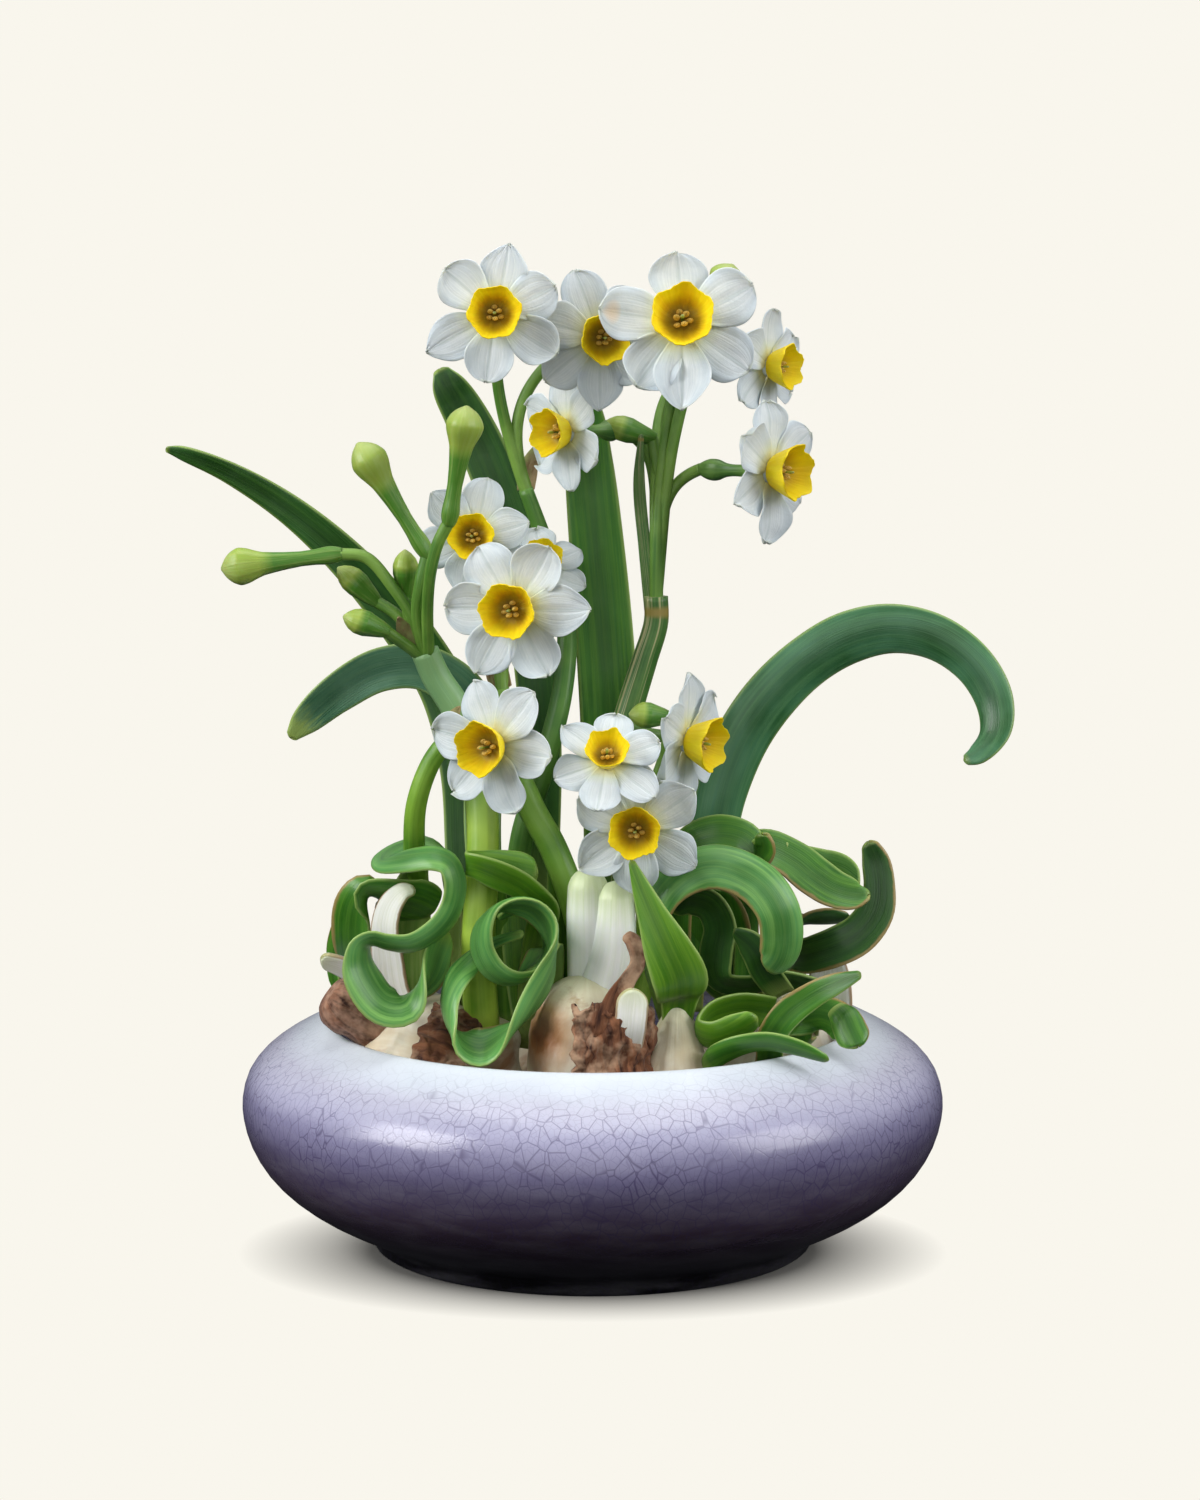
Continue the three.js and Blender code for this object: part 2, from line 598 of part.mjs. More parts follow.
        route: [
          [50, -29, 74, 7], [45, -37, 82, 8], [43.5, -39, 86, 8.5], [41, -39, 89.5, 7.5],
          [37, -38.5, 92.5, 2.5],
        ],
        across: [[0.9, 0, 0.4], [0.8, -0.3, 0.5], [0.6, -0.3, 0.7]],
        steps: 5,
      },
    ],
  },
  curl_top: {
    colour: GREEN,
    route: [
      [22, -30, 56, 9], [22, -24, 84, 13], [23, -24, 104, 13], [27, -27, 113, 12], [33, -30, 115.5, 13],
      [38.5, -33, 115, 12], [43, -37, 112, 9], [45, -40.5, 115, 7], [44, -41.5, 118.5, 4],
    ],
    across: [
      [0.7, -0.7, 0], [0.7, -0.7, 0], [0.7, -0.7, -0.1], [0.5, -0.65, -0.5], [0.1, -0.65, -0.75],
      [-0.1, -0.65, -0.75], [0.2, -0.6, -0.7], [0.8, -0.5, -0.2], [0.9, -0.4, 0.3],
    ],
    steps: 12,
  },
  curl_fold: {
    colour: GREEN,
    route: [
      [44, -8, 62, 9], [39, -11, 84, 10], [39, -14, 102.5, 11], [41.5, -19, 109, 11.5],
      [46.5, -22, 111, 12], [53.5, -23.5, 108, 12], [58, -25, 104.5, 12], [63.5, -26, 101, 11],
      [69.5, -27, 99.5, 8.5], [73, -27.5, 100, 3],
    ],
    across: [
      [0.7, -0.7, 0], [0.7, -0.7, 0], [0.7, -0.7, -0.1], [0.5, -0.65, -0.5], [-0.1, -0.6, -0.75],
      [-0.4, -0.55, -0.7], [-0.4, -0.55, -0.7], [-0.3, -0.5, -0.75], [-0.2, -0.5, -0.8],
    ],
    steps: 11,
    also: [
      {
        route: [
          [50, -22.5, 109.5, 8], [54, -17, 106.5, 11], [60, -16, 104, 13], [65.5, -17.5, 102.5, 13],
          [70, -20, 99.5, 8],
        ],
        across: [[-0.3, -0.3, -0.9]],
        steps: 5,
      },
      {
        route: [
          [42, -9, 68, 13], [36, -12, 76.5, 17], [34.5, -14.5, 84, 18], [34, -15.5, 92, 17],
          [33, -16, 100, 10],
        ],
        across: [[0.95, -0.3, 0]],
        steps: 5,
      },
    ],
  },
  curl_hook: {
    colour: DEEP_GREEN,
    route: [
      [56, 2, 62, 8], [55, -3, 78, 9], [59, -10, 80.5, 10], [65.5, -14, 83.5, 11], [71.5, -14, 87, 11],
      [76, -12.5, 93, 10], [77, -11, 99.5, 8.5], [76, -10, 106.5, 7.5], [74, -10, 111.5, 4],
    ],
    around: [62, -12, 102],
    lean: [0, -0.25, 0],
    steps: 12,
    also: [
      {
        route: [
          [54, -4, 80, 7], [54, -7.5, 87.5, 7], [57.5, -10, 90, 7.5], [63, -11, 91, 7], [69, -11, 91, 3],
        ],
        across: [[0.8, -0.6, 0], [0.6, -0.6, 0.4], [0, -0.5, 0.85]],
        steps: 5,
      },
    ],
  },
  curl_lobe: {
    colour: BRIGHT_GREEN,
    route: [
      [47, -16, 57, 7], [47, -28, 66, 8], [45.5, -35.5, 70.5, 9], [37.5, -40, 72.5, 10],
      [30, -44.5, 71, 10], [27.5, -48.5, 67.5, 9.5], [31.5, -51.5, 66.5, 10], [37.5, -52.5, 69, 9.5],
      [42.5, -52.5, 72, 5],
    ],
    across: [
      [0.2, -0.2, 1], [0, -0.3, 1], [0, -0.4, 0.9], [0, -0.5, 0.9], [-0.2, -0.5, 0.9], [0, -0.5, 0.9],
      [-0.3, -0.4, 0.9],
    ],
    steps: 12,
  },
  curl_blade: {
    colour: GREEN,
    route: [
      [42, -18, 52, 6], [44.5, -33, 55.5, 6.5], [46, -44, 60, 7], [46.5, -48, 66.5, 7.5],
      [50.5, -49, 72.5, 8], [57, -47.5, 77, 7],
      [63.5, -44, 79.5, 5.5], [70, -39.5, 81, 2],
    ],
    across: [[1, 0, 0.3], [1, 0, 0.3], [0.9, 0, -0.3], [0.7, 0, -0.6], [0.5, 0, -0.8], [0.4, 0, -0.9]],
    steps: 10,
  },
  curl_cut: {
    colour: GREEN,
    route: [
      [58, -10, 56, 7], [55, -28, 59.5, 8], [54.5, -34, 67.5, 9.5], [60, -37, 70, 10], [65, -39.5, 68, 10],
      [66.5, -42, 65, 7.5],
    ],
    across: [
      [0.6, 0, 0.8], [0.4, -0.2, 0.9], [0.2, -0.3, 0.95], [0.5, -0.4, 0.8], [0.8, -0.3, 0.5],
      [0.95, -0.1, 0.3],
    ],
    steps: 8,
    also: [
      {
        route: [[63.5, -40, 72, 5], [65.5, -43, 70.5, 8], [67.5, -46, 66.5, 9], [69, -48, 63.5, 8.5]],
        across: [[0.9, 0, 0.4]],
        steps: 4,
      },
    ],
  },
  curl_rim: {
    colour: GREEN,
    route: [
      [28, -46, 56, 4], [32, -53.5, 62, 6], [38, -57, 65.5, 7], [45, -57.5, 66.5, 7.5],
      [53, -58.5, 65, 6.5], [60.5, -59, 62.3, 2.5],
    ],
    across: [[0, -0.4, 1], [0, -0.6, 0.8], [0, -0.7, 0.75]],
    steps: 8,
  },
};

const leafSolid = (leaf, grow = 0) => union([leaf, ...(leaf.also ?? [])].map((part) => blade(part, grow)));

for (const [name, leaf] of Object.entries({ ...LEAVES, ...CURLS })) {
  addPiece(name, cut(leafSolid(leaf), grownBulbs), leaf.colour, 0.45);
}

// The two fat white shoots of the middle bulb

const SHOOT_SIDES = 8;
const SHOOTS = [
  {
    route: [[0, -38, 60], [-0.6, -38, 84], [-1, -38.5, 98], [-1.2, -39, 109]],
    radius: [5, 5.8, 6, 6, 6, 5.9, 5.8, 5.4, 2.8],
  },
  {
    route: [[1, -41, 60], [3.5, -41.5, 78], [5.6, -41.5, 90], [6, -41, 106]],
    radius: [6.5, 7.2, 7.4, 7.2, 6.6, 6, 5.5, 4.9, 2.6],
  },
];

function makeShoots() {
  const lobes = SHOOTS.map((shoot) => stalk({ ...shoot, sides: SHOOT_SIDES, steps: 7 }));
  return cut(union(lobes), [grownMiddle]);
}

addPiece('shoots', makeShoots(), 0xe8eddc, 0.45);

// Flowers: the middle of the petals, the way the flower looks, the radius over the petals, and the
// turn of its first petal.

const FLOWERS = [
  { stem: 'back', at: [-25, -31, 252], facing: [0, -1, 0.1], radius: 17.5, roll: 17 },
  { stem: 'back', at: [2, -22, 246], facing: [0.25, -1, 0], radius: 17.5, roll: 32 },
  { stem: 'tall', at: [23, -36, 250], facing: [0, -1, 0.28], radius: 20.5, roll: 33 },
  { stem: 'tall', at: [47, 2, 238], facing: [0.85, -0.52, 0], radius: 15.5, roll: 30 },
  { stem: 'tall', at: [47, -18, 211], facing: [0.8, -0.6, 0], radius: 18.5, roll: 28 },
  { stem: 'tall', at: [-7, -8, 221], facing: [-0.75, -0.66, 0], radius: 16, roll: 35 },
  { stem: 'centre', at: [-31, -20, 194], facing: [-0.1, -1, 0.1], radius: 15.5, roll: 18 },
  { stem: 'centre', at: [-20, -42, 177], facing: [-0.25, -1, 0], radius: 18.5, roll: 0 },
  { stem: 'thin', at: [-25.3, -46, 142], facing: [-0.5, -0.85, 0], radius: 17.8, roll: 50 },
  { stem: 'low', at: [3.8, -53.5, 139.2], facing: [0, -0.8, 0.6], radius: 14.2, roll: 20 },
  { stem: 'low', at: [11.5, -48, 120.6], facing: [-0.1, -1, 0], radius: 17.2, roll: 30 },
  { stem: 'low', at: [25, -27, 141], facing: [0.86, -0.5, -0.1], radius: 18, roll: 30 },
  { stem: 'centre', at: [-14, -6, 185], facing: [0.2, -0.75, 0.6], radius: 13, roll: 25 },
];

// Petal outline: distance from the middle and width as shares of the flower's radius, and how far
// the petal stands forward there.
const PETAL = [[0.15, 0.15, 0], [0.48, 0.66, 0.03], [0.8, 0.68, 0.01], [1, 0.12, -0.05]];

// The flower's own frame: z is where it looks, x the direction of its first petal.
function flowerFrame({ at, facing, roll }) {
  const out = vector(facing).normalize();
  const level = UP.clone().cross(out).normalize();
  const upward = out.clone().cross(level);
  const turn = new THREE.Matrix4().makeBasis(level, upward, out);
  return new THREE.Matrix4().makeTranslation(...at)
    .multiply(turn)
    .multiply(new THREE.Matrix4().makeRotationZ(THREE.MathUtils.degToRad(roll)));
}

const apply = (solid, matrix) => solid.transform(matrix.elements);

function makePetals(flower) {
  const { radius } = flower;
  const hubRadius = HUB_RADIUS * radius;
  const hub = turned([[0, -HUB_DEPTH], [hubRadius, -HUB_DEPTH], [hubRadius, HUB_TOP], [0, HUB_TOP]], 6);
  const petals = [];
  for (let petal = 0; petal < 6; petal += 1) {
    const angle = (petal * Math.PI) / 3;
    const lift = petal % 2 === 0 ? 0 : -WHORL_STEP;
    const outward = new THREE.Vector3(Math.cos(angle), Math.sin(angle), 0);
    const side = new THREE.Vector3(-outward.y, outward.x, 0);
    const rings = PETAL.map(([reach, width, forward]) => {
      const centre = outward.clone().multiplyScalar(reach * radius);
      centre.z = forward * radius + lift;
      const half = (width * radius) / 2;
      const place = (s, n) => centre.clone().addScaledVector(side, s).addScaledVector(UP, n);
      return [
        place(0, PETAL_MID), place(-half, PETAL_EDGE), place(-half, 0), place(half, 0), place(half, PETAL_EDGE),
      ];
    });
    petals.push(loft(rings));
  }
  return apply(largest(union([hub, ...petals])), flowerFrame(flower));
}

function makeCorona(flower) {
  const wide = CORONA_RADIUS * flower.radius;
  const tall = CORONA_HEIGHT * flower.radius;
  const base = HUB_TOP + GAP;
  const cup = [
    [0, 0], [0.6 * wide, 0], [wide, tall], [0.88 * wide, tall],
    [0.5 * wide, 0.25 * tall], [0, 0.2 * tall],
  ];
  const geometry = new THREE.LatheGeometry(cup.map(([r, h]) => new THREE.Vector2(r, h)), CORONA_SIDES);
  geometry.rotateX(Math.PI / 2);
  const points = geometry.attributes.position;
  for (let k = 0; k < points.count; k += 1) {
    const [x, y, z] = [points.getX(k), points.getY(k), points.getZ(k)];
    const wave = (z / tall) * Math.cos(6 * Math.atan2(y, x) + 1);
    points.setXYZ(k, x * (1 + 0.05 * wave), y * (1 + 0.05 * wave), z * (1 + 0.08 * wave) + base);
  }
  const anthers = [];
  for (let k = 0; k < 3; k += 1) {
    const angle = (k * 2 * Math.PI) / 3;
    const anther = new THREE.ConeGeometry(0.13 * wide, 0.5 * tall, 3);
    anther.rotateX(Math.PI / 2);
    anther.translate(0.2 * wide * Math.cos(angle), 0.2 * wide * Math.sin(angle), base + 0.4 * tall);
    anthers.push(solidFrom(anther));
  }
  return apply(largest(union([solidFrom(geometry), ...anthers])), flowerFrame(flower));
}

FLOWERS.forEach((flower, place) => {
  const number = String(place + 1).padStart(2, '0');
  addPiece('petals_' + number, makePetals(flower), 0xf4f6f2, 0.55);
  addPiece('corona_' + number, makeCorona(flower), 0xf5bf0c, 0.5);
});

// Flower stems: a scape from its bulb up to the node, and from there a stalk for each flower and bud.

const STEMS = {
  left: {
    scape: [
      [-29, -31, 60], [-30, -33, 88], [-29, -31, 105], [-29, -27, 121], [-31, -23, 136], [-36, -22, 149],
      [-41, -22, 157], [-44, -23, 164],
    ],
    thickness: [4.8, 4.5, 4.3, 4.3, 4.1, 3.7],
    buds: [
      { route: [[-44, -23, 163], [-47, -26, 173], [-52, -27, 181], [-59, -27, 189], [-66, -27, 190]],
        tip: [-97, -26, 186] },
      { route: [[-44, -24, 163], [-46, -27, 174], [-45, -29, 182], [-43, -29, 190]], tip: [-61, -28, 219] },
      { route: [[-43, -25, 164], [-43, -30, 175], [-42, -35, 185], [-40, -37, 193], [-37, -38, 199]],
        tip: [-32, -40, 229] },
      { route: [[-44, -22, 163], [-48, -22, 172], [-49, -23, 179]], tip: [-49, -25, 191], small: true },
      { route: [[-45, -22, 163], [-51, -21, 173], [-57, -20, 177]], tip: [-67, -20, 186], small: true },
      { route: [[-45, -24, 163], [-50, -27, 167], [-54, -29, 170]], tip: [-65, -30, 174], small: true },
    ],
  },
  thin: {
    scape: [
      [-45, -17, 60], [-46, -16.5, 85], [-46.5, -18.5, 99], [-47, -26, 112], [-46, -31, 125],
      [-42, -32, 136], [-36, -33, 144],
    ],
    thickness: [3.2, 3, 2.8, 2.4],
    tube: 0.5,
  },
  centre: {
    scape: [
      [0, -28, 64], [-3, -25, 90], [-10, -24, 111], [-16, -22, 122], [-21, -18, 134], [-23, -15, 145],
      [-24, -14, 153],
    ],
    thickness: [4, 3.8, 3.6, 2.8],
  },
  back: {
    scape: [
      [-16, 12, 66], [-20, -6, 92], [-19, -11, 112], [-13, -10, 132], [-8, -5, 152], [-7, 2, 168],
      [-10, 6, 182], [-14, 6, 194], [-18, 6, 205],
    ],
    thickness: [3.2, 3.2, 3, 2.6, 2],
  },
  tall: {
    scape: [
      [6, 8, 66], [4, -4, 95], [4, -11, 115], [6, -9, 132], [10, -7, 147], [14, -6, 160], [17, -5, 170],
      [17, -5, 177],
    ],
    thickness: [4.2, 4.4, 4.4, 3.6, 3.2],
    spathe: {
      route: [[16, -4, 172, 4], [14, -2, 190, 3.4], [12.5, -1, 207, 3.2], [13, -1, 220, 1.4]],
      across: [[1, -0.2, 0]],
      steps: 4,
    },
    buds: [
      { route: [[17, -4, 176], [21, -4, 215], [28, -5, 245]], tip: [37, -8, 265] },
      { route: [[17, -3, 176], [18, 0, 205], [16, 2, 219]], tip: [3, 2, 223], small: true },
    ],
  },
  low: {
    scape: [[10, -31, 64], [14, -28, 80], [14, -27, 98], [13, -26, 112]],
    thickness: [3, 2.8, 2.2],
    buds: [
      { route: [[13, -26, 111], [15, -25.5, 125], [19, -25, 137], [20, -26.5, 143.5], [19.5, -30.5, 147.5]],
        tip: [9.5, -32, 148.5], small: true },
    ],
  },
};

const STALK_RADIUS = 1.5;
const FLOWER_OVARY = [1.4, 2.9, 1.9, 1.8, 2.2]; // radii of ovary and tube, up to the petals
const BUD = [1.5, 2.4, 2, 2.4, 3.1, 4.3, 4.9, 3.6, 0.8]; // radii of ovary, tube and closed petals
const SMALL_BUD = [1.5, 2.6, 3.4, 3.1, 0.8];
const STALK_RISE = 0.7; // how far a flower's stalk runs on with the stem, as a share of its length
const STALK_BEND = 0.3;
const STALK_SAG = 0.1;

const stalkBetween = (points, radius, sides, steps) =>
  stalk({ route: points.map((point) => point.toArray()), radius, sides, steps });

// One flower's stalk, ovary and tube: the tube stands straight behind the flower.
function flowerStalk(flower, scape, tube) {
  const out = vector(flower.facing).normalize();
  const middleOfPetals = vector(flower.at);
  const behind = (distance) => middleOfPetals.clone().addScaledVector(out, -distance * flower.radius);
  const [below, node] = scape.slice(-2).map(vector);
  const rise = node.clone().sub(below).normalize();
  const start = node.clone().addScaledVector(rise, -STALK_RADIUS);
  const ovary = behind(tube + 0.42);
  const reach = start.distanceTo(ovary);
  const bend = new THREE.CubicBezierCurve3(
    start,
    start.clone().addScaledVector(rise, STALK_RISE * reach),
    ovary.clone().addScaledVector(out, -STALK_BEND * reach).addScaledVector(UP, -STALK_SAG * reach),
    ovary,
  );
  const end = behind(0).addScaledVector(out, -HUB_DEPTH - GAP);
  return [
    stalkBetween(bend.getPoints(5), [STALK_RADIUS, STALK_RADIUS], 4, 4),
    stalkBetween([ovary, behind(tube + 0.2), behind(tube), behind(tube * 0.5), end], FLOWER_OVARY, 5, 4),
  ];
}

function budStalk({ route, tip, small }) {
  const end = vector(route[route.length - 1]);
  const points = [end, end.clone().lerp(vector(tip), 0.5), vector(tip)];
  return [
    stalk({ route, radius: [STALK_RADIUS, STALK_RADIUS], sides: 4, steps: route.length - 1 }),
    small ? stalkBetween(points, SMALL_BUD, 5, 4) : stalkBetween(points, BUD, 6, 8),
  ];
}

function makeScape({ scape, thickness }, grow = 0) {
  return stalk({ route: scape, radius: thickness.map((r) => r + grow), sides: 6, steps: 7 });
}

for (const [name, stem] of Object.entries(STEMS)) {
  const { scape, spathe, buds = [], tube = 0.8 } = stem;
  const pieces = [makeScape(stem)];
  if (spathe) pieces.push(blade(spathe));
  FLOWERS.filter((flower) => flower.stem === name).forEach((flower) => {
    pieces.push(...flowerStalk(flower, scape, tube));
  });
  buds.forEach((bud) => pieces.push(...budStalk(bud)));
  addPiece('stem_' + name, cut(union(pieces), grownBulbs), 0x5b8f2a, 0.5);
}

// The papery skins, cut clear of what grows beside them

const besideLeft = [grownLeft, blade(LEFT_SCALE, GAP), blade(LEFT_STRIP, GAP), makeScape(STEMS.left, GAP)];
addPiece('skin_left', cut(skinLeft, besideLeft), 0x8a5238, 0.8);
const besideMiddle = [grownMiddle, blade(LEAVES.leaf_twist, GAP)];
addPiece('skin_middle', cut(skinMiddle, besideMiddle), 0x93583a, 0.8);

export default plant;
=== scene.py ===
"""Water narcissus in a shallow crackle-glazed bowl.

Every piece replaces one of the frame's plain solids with a finer mesh along the same routes.
Lengths are in millimetres until a mesh is written in metres.
"""

import math
import random

import bmesh
import bpy
import numpy as np
from mathutils import Matrix, Vector


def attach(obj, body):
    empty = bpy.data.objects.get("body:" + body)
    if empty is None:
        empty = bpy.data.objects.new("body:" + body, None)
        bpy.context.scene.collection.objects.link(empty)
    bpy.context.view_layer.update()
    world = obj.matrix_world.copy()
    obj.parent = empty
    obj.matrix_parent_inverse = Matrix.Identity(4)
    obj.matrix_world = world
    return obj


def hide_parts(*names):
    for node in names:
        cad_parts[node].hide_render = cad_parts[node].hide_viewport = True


MM = 0.001  # the frame is in metres


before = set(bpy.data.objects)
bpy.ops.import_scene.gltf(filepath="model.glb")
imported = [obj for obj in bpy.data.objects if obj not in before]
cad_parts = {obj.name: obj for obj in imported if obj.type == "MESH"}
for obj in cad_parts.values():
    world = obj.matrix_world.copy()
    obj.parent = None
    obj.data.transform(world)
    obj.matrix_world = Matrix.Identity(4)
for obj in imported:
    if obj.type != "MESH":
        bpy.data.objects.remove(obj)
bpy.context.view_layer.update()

# Driving dimensions

LEAF_MID = 1.9  # thickness along the midrib
LEAF_EDGE = 1.1
LEAF_CHANNEL = 0.1  # how far the edges stand up, as a share of the width
PETAL_THICKNESS = 0.5
WHORL_STEP = 1.0  # the inner three petals stand this far in front of the outer three
CORONA_RADIUS = 0.39  # as a share of the flower's radius
CORONA_HEIGHT = 0.36
STALK_RADIUS = 1.6
STALK_RISE = 0.7  # how far a flower's stalk runs on with its stem, as a share of its length
STALK_BEND = 0.3
STALK_SAG = 0.1
WATER_LEVEL = 30

GREEN = "green"
DEEP_GREEN = "deep"
BLUE_GREEN = "blue"
BRIGHT_GREEN = "bright"

# Profiles are pairs of radius and height. Routes are rows of x, y, z and, for a leaf, the width there.

BOWL_OUTSIDE = [
  [0, 0], [59.2, 0], [60.0, 0.8], [60.4, 3], [61.6, 4.5], [69, 8.0], [77, 12.2], [84, 17.2], [89.5, 23],
  [93.2, 29.5], [95, 36], [95.2, 41], [93.6, 47], [90, 51.8], [85, 55.6], [79.5, 58.6], [75, 60.8],
  [72.8, 61.8],
]
BOWL_INSIDE = [
  [71.2, 61.6], [70.5, 60], [75, 56.8], [81, 52.8], [86.5, 47.6], [89.6, 41], [90, 35], [87.6, 28],
  [80, 20], [68, 12.6], [56, 9], [0, 9],
]

UPRIGHT_BULB = [
  [0, 0], [10, 0.6], [18, 7], [23.5, 17], [25, 27], [23.5, 37], [19.5, 47], [15.5, 54], [12, 61], [9.5, 66],
  [0, 67],
]

TALL_BULB = [
  [0, 0], [9, 0.6], [14, 6], [17, 18], [17.4, 36], [16.8, 54], [15.6, 63.5], [12.4, 68.5], [7, 71.5],
  [0, 72],
]

BULBS = {
  "middle": { "base": [-1.5, -41, 9.4], "axis": [0, -0.02, 1], "profile": TALL_BULB, "size": 1.0 },
  "right": { "base": [46, 0, 9.4], "axis": [0.08, -0.05, 1], "profile": UPRIGHT_BULB, "size": 0.98 },
  "back": { "base": [-3, 24, 9.4], "axis": [-0.05, -0.08, 1], "profile": UPRIGHT_BULB, "size": 0.98 },
}

LYING = {
  "base": [-65, -20, 51],
  "axis": [0.86, -0.12, -0.33],
  "profile": [[0, 0], [10, 0.4], [18.5, 4], [26, 11], [29.5, 21], [27.5, 31], [21, 39], [0, 45]],
}

ROOT_PLATE = {
  "base": [-69.5, -32.5, 74.5],
  "axis": [0.75, 0.15, -0.6],
  "profile": [[0, 0], [4.5, 0.4], [6.8, 3], [7, 10], [6, 19], [0, 19.5]],
}

LEFT_NECK = {
  "base": [-34, -25, 36],
  "axis": [0.22, -0.2, 1],
  "profile": [[0, 0], [13, 1], [13.5, 12], [11.5, 24], [9.6, 31], [0, 31.5]],
}

OFFSET = {
  "base": [22, -46, 9.4],
  "axis": [0, 0.02, 1],
  "profile": [[0, 0], [8, 0.5], [12, 8], [13, 22], [12, 40], [9.8, 52], [7, 60], [4, 64.5], [0, 65.5]],
}

LEFT_SCALE = {
  "route": [
    [-46, -24, 58, 12], [-52.5, -29, 76, 11], [-53.5, -33, 86, 10], [-54, -34.5, 93, 8.5],
    [-52.5, -35, 98.5, 7.5], [-49.5, -35.5, 102, 5.5], [-46.5, -35.5, 102.5, 2.5],
  ],
  "across": [
    [0.8, -0.5, 0], [0.85, -0.5, 0], [0.85, -0.5, 0], [0.85, -0.5, -0.1], [0.8, -0.5, -0.3],
    [0.4, -0.5, -0.75], [0.2, -0.5, -0.85],
  ],
}

LEFT_STRIP = {
  "route": [[-52, -22, 66, 9], [-60, -24.5, 76.5, 9], [-66, -25, 80.5, 8], [-72, -25, 82.5, 6]],
  "across": [[0, -0.6, 0.8]],
}

WHITE_SCALE = {
  "route": [[8, -52, 60, 8], [9.5, -57.5, 70, 8.5], [10.5, -57, 80.5, 8.5]],
  "across": [[1, 0.2, 0.1]],
}

RIGHT_SCALE = {
  "route": [[62, -4, 54, 14], [64, -7, 68, 13], [64, -6, 78, 9], [63.5, -6, 84, 2]],
  "across": [[1, -0.2, 0]],
}

SHRED = {
  "route": [
    [4, -59, 68, 8], [5.5, -58, 76, 7], [9, -55.5, 82.5, 4.5], [11.5, -54.5, 87, 4], [10.5, -54, 92, 4],
    [8.5, -53.5, 94, 2.5],
  ],
  "across": [[1, 0.1, 0], [1, 0.2, 0], [0.9, 0.3, -0.3], [0.9, 0.3, 0], [0.7, 0.4, 0.6]],
}

SHOOTS = [
  {
    "route": [[0, -38, 60], [-0.6, -38, 84], [-1, -38.5, 98], [-1.2, -39, 109]],
    "radius": [5, 5.8, 6, 6, 6, 5.9, 5.8, 5.4, 2.8],
  },
  {
    "route": [[1, -41, 60], [3.5, -41.5, 78], [5.6, -41.5, 90], [6, -41, 106]],
    "radius": [6.5, 7.2, 7.4, 7.2, 6.6, 6, 5.5, 4.9, 2.6],
  },
]

LEAVES = {
  "leaf_long": {
    "colour": DEEP_GREEN,
    "route": [
      [-36, -12, 56, 10], [-34, -6, 82, 11], [-34, 1, 108, 12], [-35, 5, 130, 13], [-40, 8, 150, 13.5],
      [-51, 8, 168, 13], [-66, 7, 186, 11], [-82, 6, 200, 8.5], [-98, 4, 210, 6], [-110, 2, 215, 4],
      [-114, 2, 216, 1.6],
    ],
    "across": [[1, 0.1, 0], [0.9, 0, 0.3], [0.7, -0.1, 0.7], [0.5, -0.2, 0.8], [0.3, -0.3, 0.9]],
  },
  "leaf_droop": {
    "colour": BLUE_GREEN,
    "route": [
      [-32, -18, 60, 9], [-29, -13, 90, 9], [-29.5, -8, 116, 10], [-29.5, -7, 136, 11],
      [-34, -8, 151, 12.5], [-45, -9, 158.5, 12.5], [-57, -10, 158, 12], [-68, -12, 152, 11],
      [-76.5, -12, 144.5, 8], [-80.5, -12, 140, 3],
    ],
    "around": [-55, -6, 128],
  },
  "leaf_upright_left": {
    "colour": DEEP_GREEN,
    "route": [
      [-12, 17, 62, 9], [-14, 13, 100, 10], [-14, 12, 135, 11], [-17, 13, 168, 12], [-22, 13, 194, 12.5],
      [-29, 13, 214, 12.5], [-35, 12, 226, 11.5], [-39, 11, 233, 9], [-41, 11, 237, 4],
    ],
    "across": [[1, 0, 0.1], [0.95, 0, 0.3], [0.9, 0, 0.5]],
  },
  "leaf_upright": {
    "colour": GREEN,
    "route": [
      [2, 22, 60, 12], [5, 19, 95, 15], [5, 19, 130, 16], [3.5, 19, 160, 16], [1, 19, 190, 15],
      [-1, 18.5, 212, 13], [-2, 18, 226, 9], [-2.5, 18, 232, 3],
    ],
    "across": [[1, 0, 0]],
  },
  "leaf_arch": {
    "colour": GREEN,
    "route": [
      [42, 0, 60, 9], [36, -3, 86, 11], [33, -6, 106, 13], [34.5, -5, 122, 14.5], [40, -2, 137, 15],
      [48, 0, 149, 15], [58, 2, 158.5, 14.5], [69, 2, 165, 14.5], [81, 2, 167.5, 13.5],
      [93, 1, 165, 12.5], [102.5, -2, 158, 11.5], [107.5, -5, 149, 10.5], [107.5, -8, 141, 9],
      [103, -10, 135.5, 7], [99.5, -10, 133.5, 3],
    ],
    "around": [79, -4, 134],
    "lean": [0, -0.25, 0],
  },
  "leaf_twist": {
    "colour": BRIGHT_GREEN,
    "route": [
      [21.5, -44, 62, 7], [22, -45.5, 70, 8], [22.5, -48, 76.5, 10], [22.5, -52, 78.5, 12.5],
      [22.5, -54.5, 83, 14.5], [19.3, -55.5, 91, 12.5], [15.5, -54.5, 99.5, 8], [12.3, -53, 107, 4.6],
      [10, -52, 113, 1.6],
    ],
    "across": [
      [1, 0.1, 0], [1, 0.1, 0], [1, 0.05, 0.1], [0.95, 0, 0.25], [0.9, 0, 0.4], [0.9, -0.1, 0.4],
      [0.9, -0.1, 0.35], [0.9, -0.1, 0.3], [0.9, 0, 0.3],
    ],
  },
}

